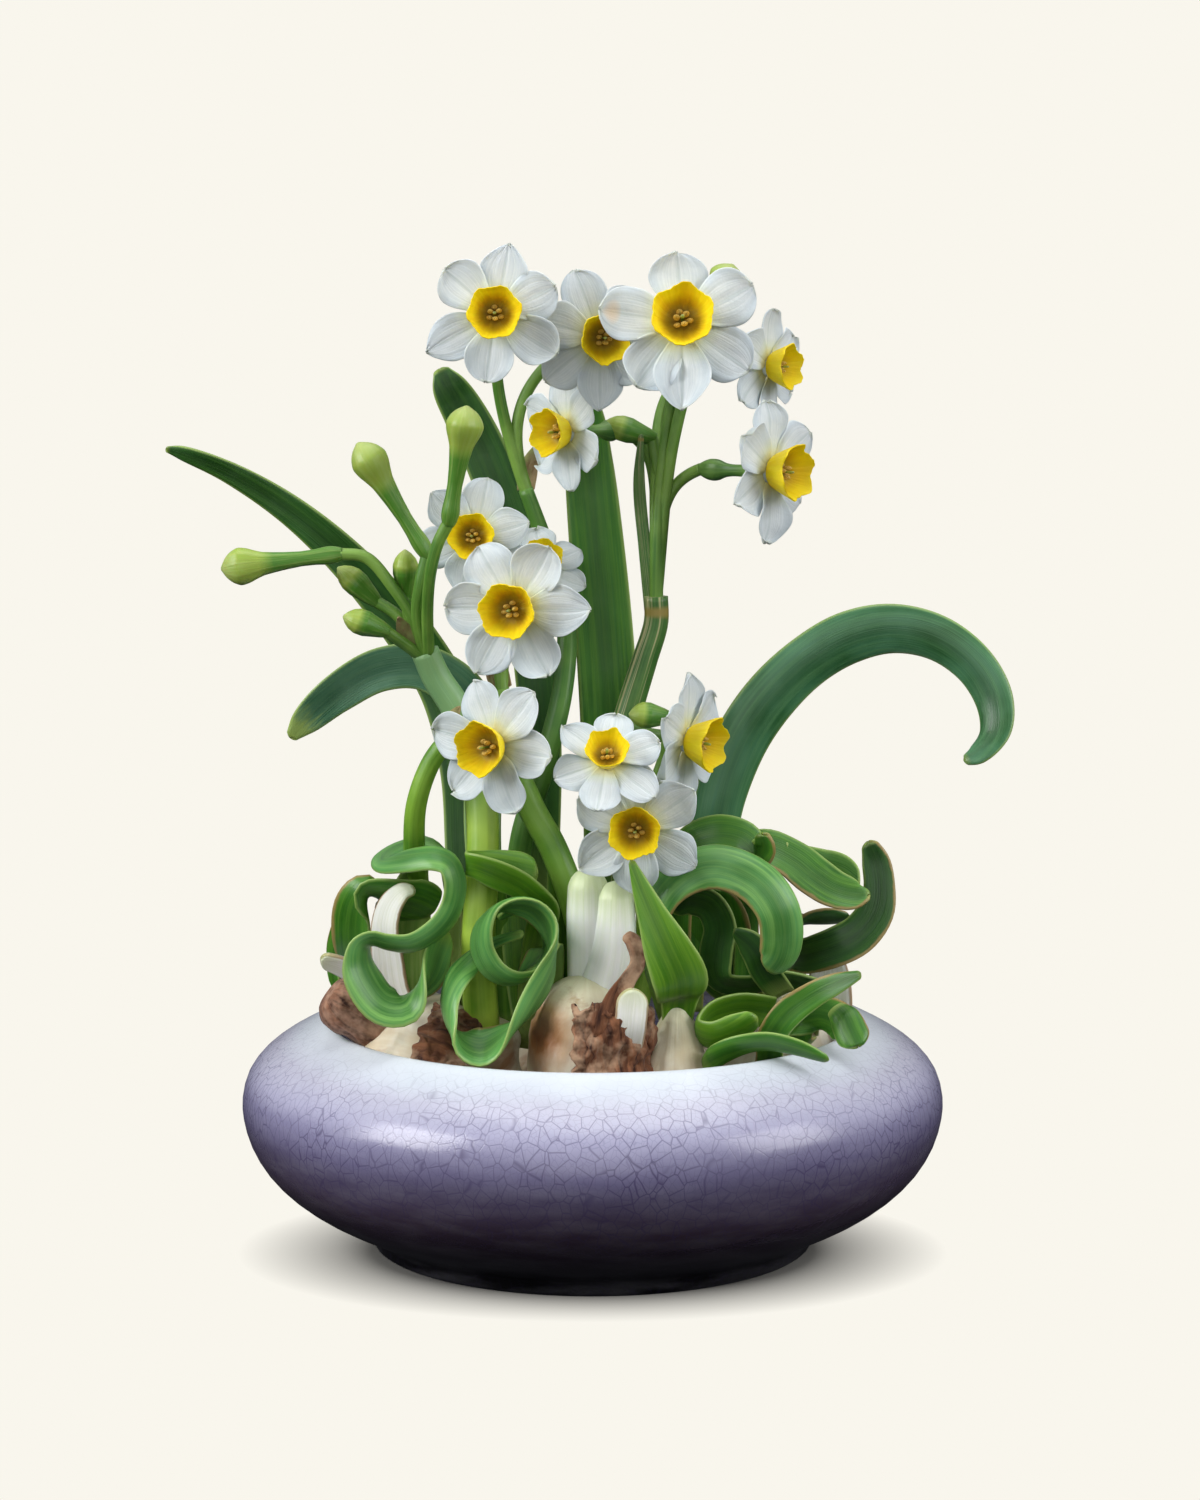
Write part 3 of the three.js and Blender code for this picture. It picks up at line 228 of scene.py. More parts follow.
CURLS = {
  "curl_outer": {
    "colour": GREEN,
    "route": [
      [-54, -2, 56, 8], [-60, -6, 69.5, 9], [-62.5, -13, 77.5, 11], [-63.5, -20, 86.5, 12.5],
      [-62.5, -25, 95.5, 13], [-59.5, -29, 100.5, 12.5], [-55, -31, 100.5, 14], [-50, -28.5, 98, 17],
      [-46, -26.5, 96.5, 17], [-43, -24.5, 94.5, 12],
    ],
    "across": [
      [0.6, -0.8, 0], [0.7, -0.7, 0], [0.8, -0.6, 0], [0.8, -0.6, 0], [0.8, -0.6, -0.1],
      [0.4, -0.9, -0.1], [0, -0.75, 0.65], [0.1, -0.6, 0.8], [0.2, -0.6, 0.8], [0.3, -0.6, 0.7],
    ],
    "also": [
      {
        "route": [
          [-61, -4, 66, 8], [-69, -1, 70.5, 8], [-69.5, -3, 79.5, 8.5], [-67.5, -6, 87, 7],
          [-64.5, -10, 92.5, 3],
        ],
        "across": [[0.2, -0.9, 0.4], [0.7, -0.7, 0]],
      },
    ],
  },
  "curl_ring": {
    "colour": BLUE_GREEN,
    "route": [
      [-39, -22, 62, 7], [-36, -23, 84, 6.5], [-37.5, -19, 103, 6.5], [-39.5, -15.5, 109, 7],
      [-44.5, -14, 112, 7.5], [-50.5, -16, 111, 7.5], [-54.5, -21, 109.5, 7], [-55, -28, 109, 7],
      [-53, -35, 110, 7.5], [-47, -41, 112, 8.5], [-41, -44, 113, 9], [-37, -44.5, 111.5, 9.5],
      [-35, -45, 107, 9.5], [-35.5, -45, 101, 9.5], [-38, -46, 96, 9.5], [-42.5, -47, 92, 9.5],
      [-47.5, -48, 90, 9], [-53, -48, 90.5, 8.5], [-57, -48, 91.5, 9], [-59.5, -48, 90, 10.5],
      [-60, -48, 86, 12.5], [-58, -49, 81, 14], [-54, -49.5, 76, 14.5], [-49.5, -49, 75, 14],
      [-46, -46.5, 77.5, 13.5], [-42.5, -43, 82, 12.5], [-40.5, -39, 87, 11], [-38.5, -36, 92, 8],
    ],
    "across": [
      [0.6, -0.8, 0], [0.6, -0.8, 0], [0.6, -0.8, 0], [0.3, -0.9, -0.2], [0, -0.9, -0.4],
      [0.3, -0.85, -0.3], [0.8, -0.4, 0], [0.95, 0.1, 0.2], [0.3, 0.8, 0.45], [0, 0.85, 0.5],
      [0, 0.8, 0.55], [0.25, 0.8, 0.45], [0.6, 0.8, 0.1], [0.6, 0.8, -0.1], [0.5, 0.8, -0.4],
      [0.3, 0.8, -0.5], [0, 0.75, -0.6], [0, 0.75, -0.6], [0, 0.8, -0.55], [0.4, 0.8, -0.4],
      [0.55, 0.8, 0], [0.5, 0.8, 0.3], [0.2, 0.8, 0.5], [0, 0.8, 0.55], [0.15, 0.9, 0.2],
      [0.5, 0.8, -0.2], [0.6, 0.75, -0.3], [0.6, 0.75, -0.3],
    ],
  },
  "curl_loop": {
    "colour": BLUE_GREEN,
    "route": [
      [-11.5, -32.5, 62, 6], [-11.5, -34, 75, 7], [-11.5, -36.5, 83, 8], [-12, -40, 87.5, 9],
      [-14, -43.5, 85, 10.5], [-17.5, -46.5, 81.3, 11.5], [-22, -48.5, 81, 12], [-26.5, -49.5, 84, 12],
      [-29.2, -50, 90, 11.5], [-28.4, -50.5, 96, 11.5], [-25, -50.5, 100.3, 11.5],
      [-20, -50.5, 101.8, 12], [-14.8, -50.5, 100.5, 12], [-11.2, -50.5, 96.5, 12], [-10, -51, 91, 12],
      [-11, -52, 84.5, 11.5], [-14, -53, 78, 11], [-18.5, -54, 71.5, 11], [-23.5, -54, 66.5, 11.5],
      [-28.5, -54, 64, 12], [-33.5, -54, 65.5, 12], [-36.5, -53, 69.5, 11.5], [-37.5, -51.5, 75.5, 10.5],
      [-35.5, -48, 81.5, 9], [-31.5, -43.5, 85.5, 6.5], [-27, -41.5, 89, 4], [-22.5, -42, 91, 3],
      [-18, -43.5, 92.5, 2.5],
    ],
    "across": [
      [-0.9, 0.3, 0], [-0.9, 0.3, 0], [-0.9, 0.2, -0.1], [-0.95, 0.1, -0.2], [-0.7, 0.5, -0.4],
      [-0.45, 0.8, -0.4], [-0.42, 0.8, -0.42], [-0.42, 0.8, -0.42], [-0.42, 0.8, -0.42],
      [-0.42, 0.8, -0.42], [-0.42, 0.8, -0.42], [-0.42, 0.8, -0.42], [-0.42, 0.8, -0.42],
      [-0.42, 0.8, -0.42], [-0.25, 0.9, -0.25], [0.4, 0.85, -0.1], [0.55, 0.75, -0.2], [0.5, 0.8, 0.2],
      [0.2, 0.75, 0.6], [0.1, 0.65, 0.75], [-0.1, 0.8, 0.55], [-0.3, 0.9, 0.1], [-0.35, 0.9, 0.1],
      [-0.3, 0.9, 0.3], [-0.2, 0.7, 0.6], [0, 0.6, 0.8], [0, 0.6, 0.8], [0, 0.6, 0.8],
    ],
    "also": [
      {
        "route": [
          [-17.5, -46, 82, 9], [-12.8, -45, 85.5, 10], [-11.6, -43.5, 91, 10], [-14.5, -42, 96, 10],
          [-19.5, -41, 98, 9], [-24.5, -40, 96, 6],
        ],
        "across": [[-0.3, 0.9, -0.3]],
      },
    ],
  },
  "curl_tongue": {
    "colour": BRIGHT_GREEN,
    "route": [
      [-17, -24, 58, 7], [-15.5, -25, 80, 7.5], [-13.5, -29, 92, 8], [-12.5, -35.5, 98, 8],
      [-14.5, -39.5, 101.5, 8.5], [-19, -42, 105.5, 9], [-24.5, -43.5, 108.3, 9],
      [-29.5, -43.5, 110.3, 7.5], [-32, -41.5, 110.6, 6.5], [-29.5, -39, 110, 7], [-24, -37.5, 109, 9.5],
      [-18.5, -36.5, 107.8, 10.5], [-14.5, -36, 106.8, 7],
    ],
    "across": [
      [0.9, -0.4, 0], [0.9, -0.4, 0], [0.9, -0.4, 0.1], [0.8, -0.4, 0.4], [0.6, -0.5, 0.6],
      [0.4, -0.5, 0.8], [0.3, -0.45, 0.85], [0.1, -0.4, 0.9], [-0.2, -0.1, 1], [0, 0.3, 0.95],
      [0.15, 0.4, 0.9], [0.2, 0.4, 0.9],
    ],
    "also": [
      {
        "route": [[-16.5, -24, 60, 8], [-18, -20.5, 78, 11], [-19, -18.5, 94, 11], [-20, -17.5, 103, 6]],
        "across": [[1, 0.1, 0]],
      },
    ],
  },
  "curl_big": {
    "colour": BLUE_GREEN,
    "route": [
      [22, -39, 58, 7], [18.5, -37, 72, 8], [15.5, -41, 88, 8.5], [16.5, -43.5, 98.5, 9],
      [20, -44, 105, 10.5], [25.5, -44, 109.2, 12], [31.5, -45, 110.8, 12.5], [38, -46.5, 109.5, 12.5],
      [44, -48, 105.8, 12.5], [48.3, -49, 99.5, 12], [49.5, -48, 92, 12], [48.5, -47, 86.5, 11],
      [46, -46, 83, 7],
    ],
    "around": [32, -49, 94],
    "lean": [0, 0.35, 0],
  },
  "curl_inner": {
    "colour": DEEP_GREEN,
    "route": [
      [60, -10, 62, 8], [58.5, -24, 74, 8], [49.5, -29, 78, 8], [40, -32, 77, 9], [34, -34, 79, 9.5],
      [33, -34.5, 85, 10.5], [34, -34, 92.5, 11], [31, -33.5, 98.5, 11], [25, -33, 100, 10],
      [20, -33, 97.5, 7],
    ],
    "across": [
      [0, -0.4, 1], [0, -0.6, 0.9], [0, -0.7, 0.7], [0.1, -0.7, 0.7], [0.4, -0.7, 0.5], [0.8, -0.5, 0.2],
      [0.75, -0.5, 0.4], [0.3, -0.5, 0.8], [-0.1, -0.5, 0.8], [-0.5, -0.5, 0.7],
    ],
    "also": [
      {
        "route": [
          [50, -29, 74, 7], [45, -37, 82, 8], [43.5, -39, 86, 8.5], [41, -39, 89.5, 7.5],
          [37, -38.5, 92.5, 2.5],
        ],
        "across": [[0.9, 0, 0.4], [0.8, -0.3, 0.5], [0.6, -0.3, 0.7]],
      },
    ],
  },
  "curl_top": {
    "colour": GREEN,
    "route": [
      [22, -30, 56, 9], [22, -24, 84, 13], [23, -24, 104, 13], [27, -27, 113, 12], [33, -30, 115.5, 13],
      [38.5, -33, 115, 12], [43, -37, 112, 9], [45, -40.5, 115, 7], [44, -41.5, 118.5, 4],
    ],
    "across": [
      [0.7, -0.7, 0], [0.7, -0.7, 0], [0.7, -0.7, -0.1], [0.5, -0.65, -0.5], [0.1, -0.65, -0.75],
      [-0.1, -0.65, -0.75], [0.2, -0.6, -0.7], [0.8, -0.5, -0.2], [0.9, -0.4, 0.3],
    ],
  },
  "curl_fold": {
    "colour": GREEN,
    "route": [
      [44, -8, 62, 9], [39, -11, 84, 10], [39, -14, 102.5, 11], [41.5, -19, 109, 11.5],
      [46.5, -22, 111, 12], [53.5, -23.5, 108, 12], [58, -25, 104.5, 12], [63.5, -26, 101, 11],
      [69.5, -27, 99.5, 8.5], [73, -27.5, 100, 3],
    ],
    "across": [
      [0.7, -0.7, 0], [0.7, -0.7, 0], [0.7, -0.7, -0.1], [0.5, -0.65, -0.5], [-0.1, -0.6, -0.75],
      [-0.4, -0.55, -0.7], [-0.4, -0.55, -0.7], [-0.3, -0.5, -0.75], [-0.2, -0.5, -0.8],
    ],
    "also": [
      {
        "route": [
          [50, -22.5, 109.5, 8], [54, -17, 106.5, 11], [60, -16, 104, 13], [65.5, -17.5, 102.5, 13],
          [70, -20, 99.5, 8],
        ],
        "across": [[-0.3, -0.3, -0.9]],
      },
      {
        "route": [
          [42, -9, 68, 13], [36, -12, 76.5, 17], [34.5, -14.5, 84, 18], [34, -15.5, 92, 17],
          [33, -16, 100, 10],
        ],
        "across": [[0.95, -0.3, 0]],
      },
    ],
  },
  "curl_hook": {
    "colour": DEEP_GREEN,
    "route": [
      [56, 2, 62, 8], [55, -3, 78, 9], [59, -10, 80.5, 10], [65.5, -14, 83.5, 11], [71.5, -14, 87, 11],
      [76, -12.5, 93, 10], [77, -11, 99.5, 8.5], [76, -10, 106.5, 7.5], [74, -10, 111.5, 4],
    ],
    "around": [62, -12, 102],
    "lean": [0, -0.25, 0],
    "also": [
      {
        "route": [
          [54, -4, 80, 7], [54, -7.5, 87.5, 7], [57.5, -10, 90, 7.5], [63, -11, 91, 7], [69, -11, 91, 3],
        ],
        "across": [[0.8, -0.6, 0], [0.6, -0.6, 0.4], [0, -0.5, 0.85]],
      },
    ],
  },
  "curl_lobe": {
    "colour": BRIGHT_GREEN,
    "route": [
      [47, -16, 57, 7], [47, -28, 66, 8], [45.5, -35.5, 70.5, 9], [37.5, -40, 72.5, 10],
      [30, -44.5, 71, 10], [27.5, -48.5, 67.5, 9.5], [31.5, -51.5, 66.5, 10], [37.5, -52.5, 69, 9.5],
      [42.5, -52.5, 72, 5],
    ],
    "across": [
      [0.2, -0.2, 1], [0, -0.3, 1], [0, -0.4, 0.9], [0, -0.5, 0.9], [-0.2, -0.5, 0.9], [0, -0.5, 0.9],
      [-0.3, -0.4, 0.9],
    ],
  },
  "curl_blade": {
    "colour": GREEN,
    "route": [
      [42, -18, 52, 6], [44.5, -33, 55.5, 6.5], [46, -44, 60, 7], [46.5, -48, 66.5, 7.5],
      [50.5, -49, 72.5, 8], [57, -47.5, 77, 7], [63.5, -44, 79.5, 5.5], [70, -39.5, 81, 2],
    ],
    "across": [[1, 0, 0.3], [1, 0, 0.3], [0.9, 0, -0.3], [0.7, 0, -0.6], [0.5, 0, -0.8], [0.4, 0, -0.9]],
  },
  "curl_cut": {
    "colour": GREEN,
    "route": [
      [58, -10, 56, 7], [55, -28, 59.5, 8], [54.5, -34, 67.5, 9.5], [60, -37, 70, 10],
      [65, -39.5, 68, 10], [66.5, -42, 65, 7.5],
    ],
    "across": [
      [0.6, 0, 0.8], [0.4, -0.2, 0.9], [0.2, -0.3, 0.95], [0.5, -0.4, 0.8], [0.8, -0.3, 0.5],
      [0.95, -0.1, 0.3],
    ],
    "also": [
      {
        "route": [[63.5, -40, 72, 5], [65.5, -43, 70.5, 8], [67.5, -46, 66.5, 9], [69, -48, 63.5, 8.5]],
        "across": [[0.9, 0, 0.4]],
      },
    ],
  },
  "curl_rim": {
    "colour": GREEN,
    "route": [
      [28, -46, 56, 4], [32, -53.5, 62, 6], [38, -57, 65.5, 7], [45, -57.5, 66.5, 7.5],
      [53, -58.5, 65, 6.5], [60.5, -59, 62.3, 2.5],
    ],
    "across": [[0, -0.4, 1], [0, -0.6, 0.8], [0, -0.7, 0.75]],
  },
}

# Each flower: its stem, where it is, where it looks, its radius and its roll in degrees.
FLOWERS = [
  dict(zip(("stem", "at", "facing", "radius", "roll"), row)) for row in [
    ("back", [-25, -31, 252], [0, -1, 0.1], 17.5, 17),
    ("back", [2, -22, 246], [0.25, -1, 0], 17.5, 32),
    ("tall", [23, -36, 250], [0, -1, 0.28], 20.5, 33),
    ("tall", [47, 2, 238], [0.85, -0.52, 0], 15.5, 30),
    ("tall", [47, -18, 211], [0.8, -0.6, 0], 18.5, 28),
    ("tall", [-7, -8, 221], [-0.75, -0.66, 0], 16, 35),
    ("centre", [-31, -20, 194], [-0.1, -1, 0.1], 15.5, 18),
    ("centre", [-20, -42, 177], [-0.25, -1, 0], 18.5, 0),
    ("thin", [-25.3, -46, 142], [-0.5, -0.85, 0], 17.8, 50),
    ("low", [3.8, -53.5, 139.2], [0, -0.8, 0.6], 14.2, 20),
    ("low", [11.5, -48, 120.6], [-0.1, -1, 0], 17.2, 30),
    ("low", [25, -27, 141], [0.86, -0.5, -0.1], 18, 30),
    ("centre", [-14, -6, 185], [0.2, -0.75, 0.6], 13, 25),
  ]
]

STEMS = {
  "left": {
    "scape": [
      [-29, -31, 60], [-30, -33, 88], [-29, -31, 105], [-29, -27, 121], [-31, -23, 136], [-36, -22, 149],
      [-41, -22, 157], [-44, -23, 164],
    ],
    "thickness": [4.8, 4.5, 4.3, 4.3, 4.1, 3.7],
    "buds": [
      { "route": [[-44, -23, 163], [-47, -26, 173], [-52, -27, 181], [-59, -27, 189], [-66, -27, 190]],
        "tip": [-97, -26, 186] },
      { "route": [[-44, -24, 163], [-46, -27, 174], [-45, -29, 182], [-43, -29, 190]],
        "tip": [-61, -28, 219] },
      { "route": [[-43, -25, 164], [-43, -30, 175], [-42, -35, 185], [-40, -37, 193], [-37, -38, 199]],
        "tip": [-32, -40, 229] },
      { "route": [[-44, -22, 163], [-48, -22, 172], [-49, -23, 179]],
        "tip": [-49, -25, 191], "small": True },
      { "route": [[-45, -22, 163], [-51, -21, 173], [-57, -20, 177]],
        "tip": [-67, -20, 186], "small": True },
      { "route": [[-45, -24, 163], [-50, -27, 167], [-54, -29, 170]],
        "tip": [-65, -30, 174], "small": True },
    ],
  },
  "thin": {
    "scape": [
      [-45, -17, 60], [-46, -16.5, 85], [-46.5, -18.5, 99], [-47, -26, 112], [-46, -31, 125],
      [-42, -32, 136], [-36, -33, 144],
    ],
    "thickness": [3.2, 3, 2.8, 2.4],
    "tube": 0.5,
  },
  "centre": {
    "scape": [
      [0, -28, 64], [-3, -25, 90], [-10, -24, 111], [-16, -22, 122], [-21, -18, 134], [-23, -15, 145],
      [-24, -14, 153],
    ],
    "thickness": [4, 3.8, 3.6, 2.8],
  },
  "back": {
    "scape": [
      [-16, 12, 66], [-20, -6, 92], [-19, -11, 112], [-13, -10, 132], [-8, -5, 152], [-7, 2, 168],
      [-10, 6, 182], [-14, 6, 194], [-18, 6, 205],
    ],
    "thickness": [3.2, 3.2, 3, 2.6, 2],
  },
  "tall": {
    "scape": [
      [6, 8, 66], [4, -4, 95], [4, -11, 115], [6, -9, 132], [10, -7, 147], [14, -6, 160], [17, -5, 170],
      [17, -5, 177],
    ],
    "thickness": [4.2, 4.4, 4.4, 3.6, 3.2],
    "spathe": {
      "route": [[16, -4, 172, 4], [14, -2, 190, 3.4], [12.5, -1, 207, 3.2], [13, -1, 220, 1.4]],
      "across": [[1, -0.2, 0]],
    },
    "buds": [
      { "route": [[17, -4, 176], [21, -4, 215], [28, -5, 245]], "tip": [37, -8, 265] },
      { "route": [[17, -3, 176], [18, 0, 205], [16, 2, 219]], "tip": [3, 2, 223], "small": True },
    ],
  },
  "low": {
    "scape": [[10, -31, 64], [14, -28, 80], [14, -27, 98], [13, -26, 112]],
    "thickness": [3, 2.8, 2.2],
    "buds": [
      { "route": [[13, -26, 111], [15, -25.5, 125], [19, -25, 137], [20, -26.5, 143.5], [19.5, -30.5, 147.5]],
        "tip": [9.5, -32, 148.5], "small": True },
    ],
  },
}

# Curves and meshes

WELD = 1e-7  # in metres: points this close become one
THINNEST = 0.15  # the least radius of a stem
NEAR_AXIS = 0.02  # the least radius of a turned solid
LEAF_STEP = 1.8  # between the rows of a leaf
LEAF_COLUMNS = 17
LEAF_NARROWEST = 0.6
LEAF_THIN = 0.35  # share of the thickness that is left where a leaf is very narrow
LEAF_FULL = 2.2  # the half width from which a leaf has its whole thickness
TIP_ROWS = 8  # more rows that round off a leaf's tip
TIP_LEAST = 0.05  # share of the width left at the very tip
MEASURE_STEPS = 200  # straight lines that a leaf's length is measured along


def unit(vectors):
    """Vectors along the last axis, each of length one."""
    length = np.linalg.norm(vectors, axis=-1, keepdims=True)
    return vectors / np.maximum(length, 1e-9)


def grid(*parts):
    """Arrays spread to one shape and joined along a new last axis."""
    return np.stack(np.broadcast_arrays(*parts), axis=-1)


def round_about(radius, angle, height):
    return grid(radius * np.cos(angle), radius * np.sin(angle), height)


def aim_at(axis):
    return np.array(Vector((0, 0, 1)).rotation_difference(Vector(axis).normalized()).to_matrix())


def pace_along(rows):
    """How far each row is from the first, along the line through them."""
    return np.concatenate([[0], np.cumsum(np.linalg.norm(np.diff(rows, axis=0), axis=1))])


def spline(rows, u):
    """A row at a share u of the centripetal Catmull-Rom curve through the rows."""
    place = min(max(u, 0.0), 0.9999999) * (len(rows) - 1)
    k = int(place)
    t = place - k
    b, c = np.array(rows[k], float), np.array(rows[k + 1], float)
    a = np.array(rows[k - 1], float) if k else 2 * b - c
    d = np.array(rows[k + 2], float) if k + 2 < len(rows) else 2 * c - b
    gaps = [max(1e-3, math.dist(p[:3], q[:3]) ** 0.5) for p, q in ((a, b), (b, c), (c, d))]
    start = ((b - a) / gaps[0] - (c - a) / (gaps[0] + gaps[1]) + (c - b) / gaps[1]) * gaps[1]
    end = ((c - b) / gaps[1] - (d - b) / (gaps[1] + gaps[2]) + (d - c) / gaps[2]) * gaps[1]
    return b + start * t + (3 * (c - b) - 2 * start - end) * t * t + (2 * (b - c) + start + end) * t ** 3


def along(values, u):
    """A vector read at a share u of a list."""
    if len(values) == 1:
        return np.array(values[0], float)
    place = min(max(u, 0.0), 1.0) * (len(values) - 1)
    k = min(int(place), len(values) - 2)
    a, b = np.array(values[k], float), np.array(values[k + 1], float)
    return a + (b - a) * (place - k)


def smooth_along(values, u):
    """A radius read from a list without corners."""
    rows = [[k * 10.0, 0, 0, value] for k, value in enumerate(values)]
    return max(THINNEST, spline(rows, u)[3])


def smoothstep(low, high, x):
    t = np.clip((x - low) / (high - low), 0, 1)
    return t * t * (3 - 2 * t)


def rounded(s, power=8):
    """Thickness over a sheet's half width s, falling to nothing at its edges in a round."""
    return np.sqrt(np.maximum(0, 1 - np.abs(s) ** power))


def spread(count, gather=0.85):
    """Places from -1 to 1, closer together at both ends."""
    t = np.linspace(-1, 1, count)
    return (1 - gather) * t + gather * np.sin(t * math.pi / 2)


def ripple(points, scale, seed):
    """Smooth noise from about -1 to 1 at points, made of a few fixed waves."""
    chance = random.Random(seed)
    total = np.zeros(points.shape[:-1])
    for octave in range(5):
        way = np.array([chance.gauss(0, 1) for _ in range(3)])
        way *= (1.0 + 0.8 * octave) / (scale * np.linalg.norm(way))
        total += np.sin(points @ way * 2 * math.pi + chance.uniform(0, 6.28)) / (1 + 0.5 * octave)
    return total / 2.6


def placed(name, data):
    thing = bpy.data.objects.new(name, data)
    bpy.context.scene.collection.objects.link(thing)
    return thing


class Form:
    """Gathers grids of points into one mesh. UV map "size" is in centimetres, "place" runs from 0 to 1."""

    def __init__(self):
        self.points, self.faces, self.size, self.place, self.material = [], [], [], [], []
        self.count = 0

    def add(self, points, size, place, material=0):
        """points[row, column]: each row is a ring, and both UV grids have one more column."""
        rows, columns = points.shape[:2]
        faces = [
            ((row, column), (row, column + 1), (row + 1, column + 1), (row + 1, column))
            for row in range(rows - 1) for column in range(columns)
        ]
        faces.append([(0, column) for column in range(columns - 1, -1, -1)])
        faces.append([(rows - 1, column) for column in range(columns)])
        for corners in faces:
            self.faces.append([self.count + row * columns + column % columns for row, column in corners])
            self.size.extend(size[corner] for corner in corners)
            self.place.extend(place[corner] for corner in corners)
            self.material.append(material)
        self.points.append(points.reshape(-1, 3))
        self.count += rows * columns

    def finish(self, name, node, materials):
        mesh = bpy.data.meshes.new(name)
        mesh.from_pydata((np.concatenate(self.points) * MM).tolist(), [], self.faces)
        for title, values in (("size", self.size), ("place", self.place)):
            layer = mesh.uv_layers.new(name=title)
            layer.data.foreach_set("uv", np.array(values, np.float32).ravel())
        mesh.polygons.foreach_set("material_index", self.material)
        for material in materials:
            mesh.materials.append(material)
        shape = bmesh.new()
        shape.from_mesh(mesh)
        bmesh.ops.remove_doubles(shape, verts=shape.verts, dist=WELD)
        bmesh.ops.dissolve_degenerate(shape, dist=WELD, edges=shape.edges)
        bmesh.ops.recalc_face_normals(shape, faces=shape.faces)
        shape.to_mesh(mesh)
        shape.free()
        mesh.shade_smooth()
        piece = placed(name, mesh)
        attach(piece, "root")
        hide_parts(node)


def thin_solid(form, middle, thickness, size, place, material=0):
    """A closed sheet round a grid of points: half its thickness on each side, none along its side edges."""
    normal = unit(np.cross(np.gradient(middle, axis=1), np.gradient(middle, axis=0)))
    half = normal * thickness[..., None] / 2
    ring = np.concatenate([middle + half, (middle - half)[:, -2:0:-1]], axis=1)
    both = [np.concatenate([side, side[:, -2::-1]], axis=1) for side in (size, place)]
    form.add(ring, *both, material)


def leaf(form, route, across=None, around=None, lean=(0, 0, 0), thick=1.0, material=0, wave=0.0, seed=0, **_):
    """A fleshy blade with the route, width and turn of the solid that it replaces."""
    rough = [spline(route, k / MEASURE_STEPS) for k in range(MEASURE_STEPS + 1)]
    length = sum(math.dist(p[:3], q[:3]) for p, q in zip(rough, rough[1:]))
    tip = max(0.9, route[-1][3] / 2)
    shares = list(np.linspace(0, 1 - tip / length, max(24, int(length / LEAF_STEP))))
    for k in range(1, TIP_ROWS + 1):
        shares.append(1 - tip / length * (1 - math.sin(k * math.pi / 2 / TIP_ROWS)))
    rows = np.array([spline(route, u) for u in shares])
    centres, widths = rows[:, :3], np.maximum(rows[:, 3], LEAF_NARROWEST)
    ahead = unit(np.gradient(centres, axis=0))
    if across:
        ways = [unit(np.array(way, float)) for way in across]
        side = np.array([unit(along(ways, u)) for u in shares])
    else:
        side = unit(centres - np.array(around, float))
    side = side + np.array(lean, float)
    for _ in range(6):
        side[1:-1] = (side[:-2] + 2 * side[1:-1] + side[2:]) / 4
    side = unit(side - (side * ahead).sum(1, keepdims=True) * ahead)
    up = np.cross(side, ahead)
    shares = np.array(shares)
    left = np.clip((1 - shares) * length / tip, 0, 1)
    half = (widths / 2 * np.sqrt(np.maximum(TIP_LEAST ** 2, 1 - (1 - left) ** 2)))[:, None]
    s, v = spread(LEAF_COLUMNS), shares[:, None]
    channel = 2 * half * LEAF_CHANNEL * s ** 2
    channel = channel + wave * (np.abs(s) ** 3) * np.sin(v * length / 7 + seed + 2 * np.sign(s))
    middle = centres[:, None] + side[:, None] * (half * s)[..., None] + up[:, None] * channel[..., None]
    body = LEAF_EDGE + (LEAF_MID - LEAF_EDGE) * (1 - s ** 2)
    full = LEAF_THIN + (1 - LEAF_THIN) * np.minimum(1, half / LEAF_FULL)
    thickness = thick * body * rounded(s) * full
    size = grid(half * s / 10, v * length / 10)
    thin_solid(form, middle, thickness, size, grid((s + 1) / 2, v), material)


def tube(form, route, radius, sides=18, steps=40, flutes=(0, 0.0), material=0):
    """A round stem along a route, its radius read from a list; flutes: how many ribs it has and how deep."""
    rows = np.array([spline(route, k / steps) for k in range(steps + 1)])
    pace = pace_along(rows)
    even = np.linspace(0, pace[-1], steps + 1)
    centres = np.stack([np.interp(even, pace, rows[:, axis]) for axis in range(3)], axis=1)
    ahead = unit(np.gradient(centres, axis=0))
    side, sides_at = np.array([1, 0.2, 0.1]), []
    for way in ahead:
        side = side - way * side.dot(way)
        side = side / np.linalg.norm(side)
        sides_at.append(side)
    side = np.array(sides_at)
    up = np.cross(ahead, side)
    shares = np.linspace(0, 1, steps + 1)
    thick = np.array([smooth_along(radius, u) for u in shares])
    angle = np.linspace(0, 2 * math.pi, sides + 1)
    r = thick[:, None] * (1 + flutes[1] * np.cos(flutes[0] * angle[:-1]))
    aside, above = r * np.cos(angle[:-1]), r * np.sin(angle[:-1])
    points = centres[:, None] + side[:, None] * aside[..., None] + up[:, None] * above[..., None]
    size = grid(angle / 10 * max(thick), even[:, None] / 10)
    form.add(points, size, grid(angle / (2 * math.pi), shares[:, None]), material)


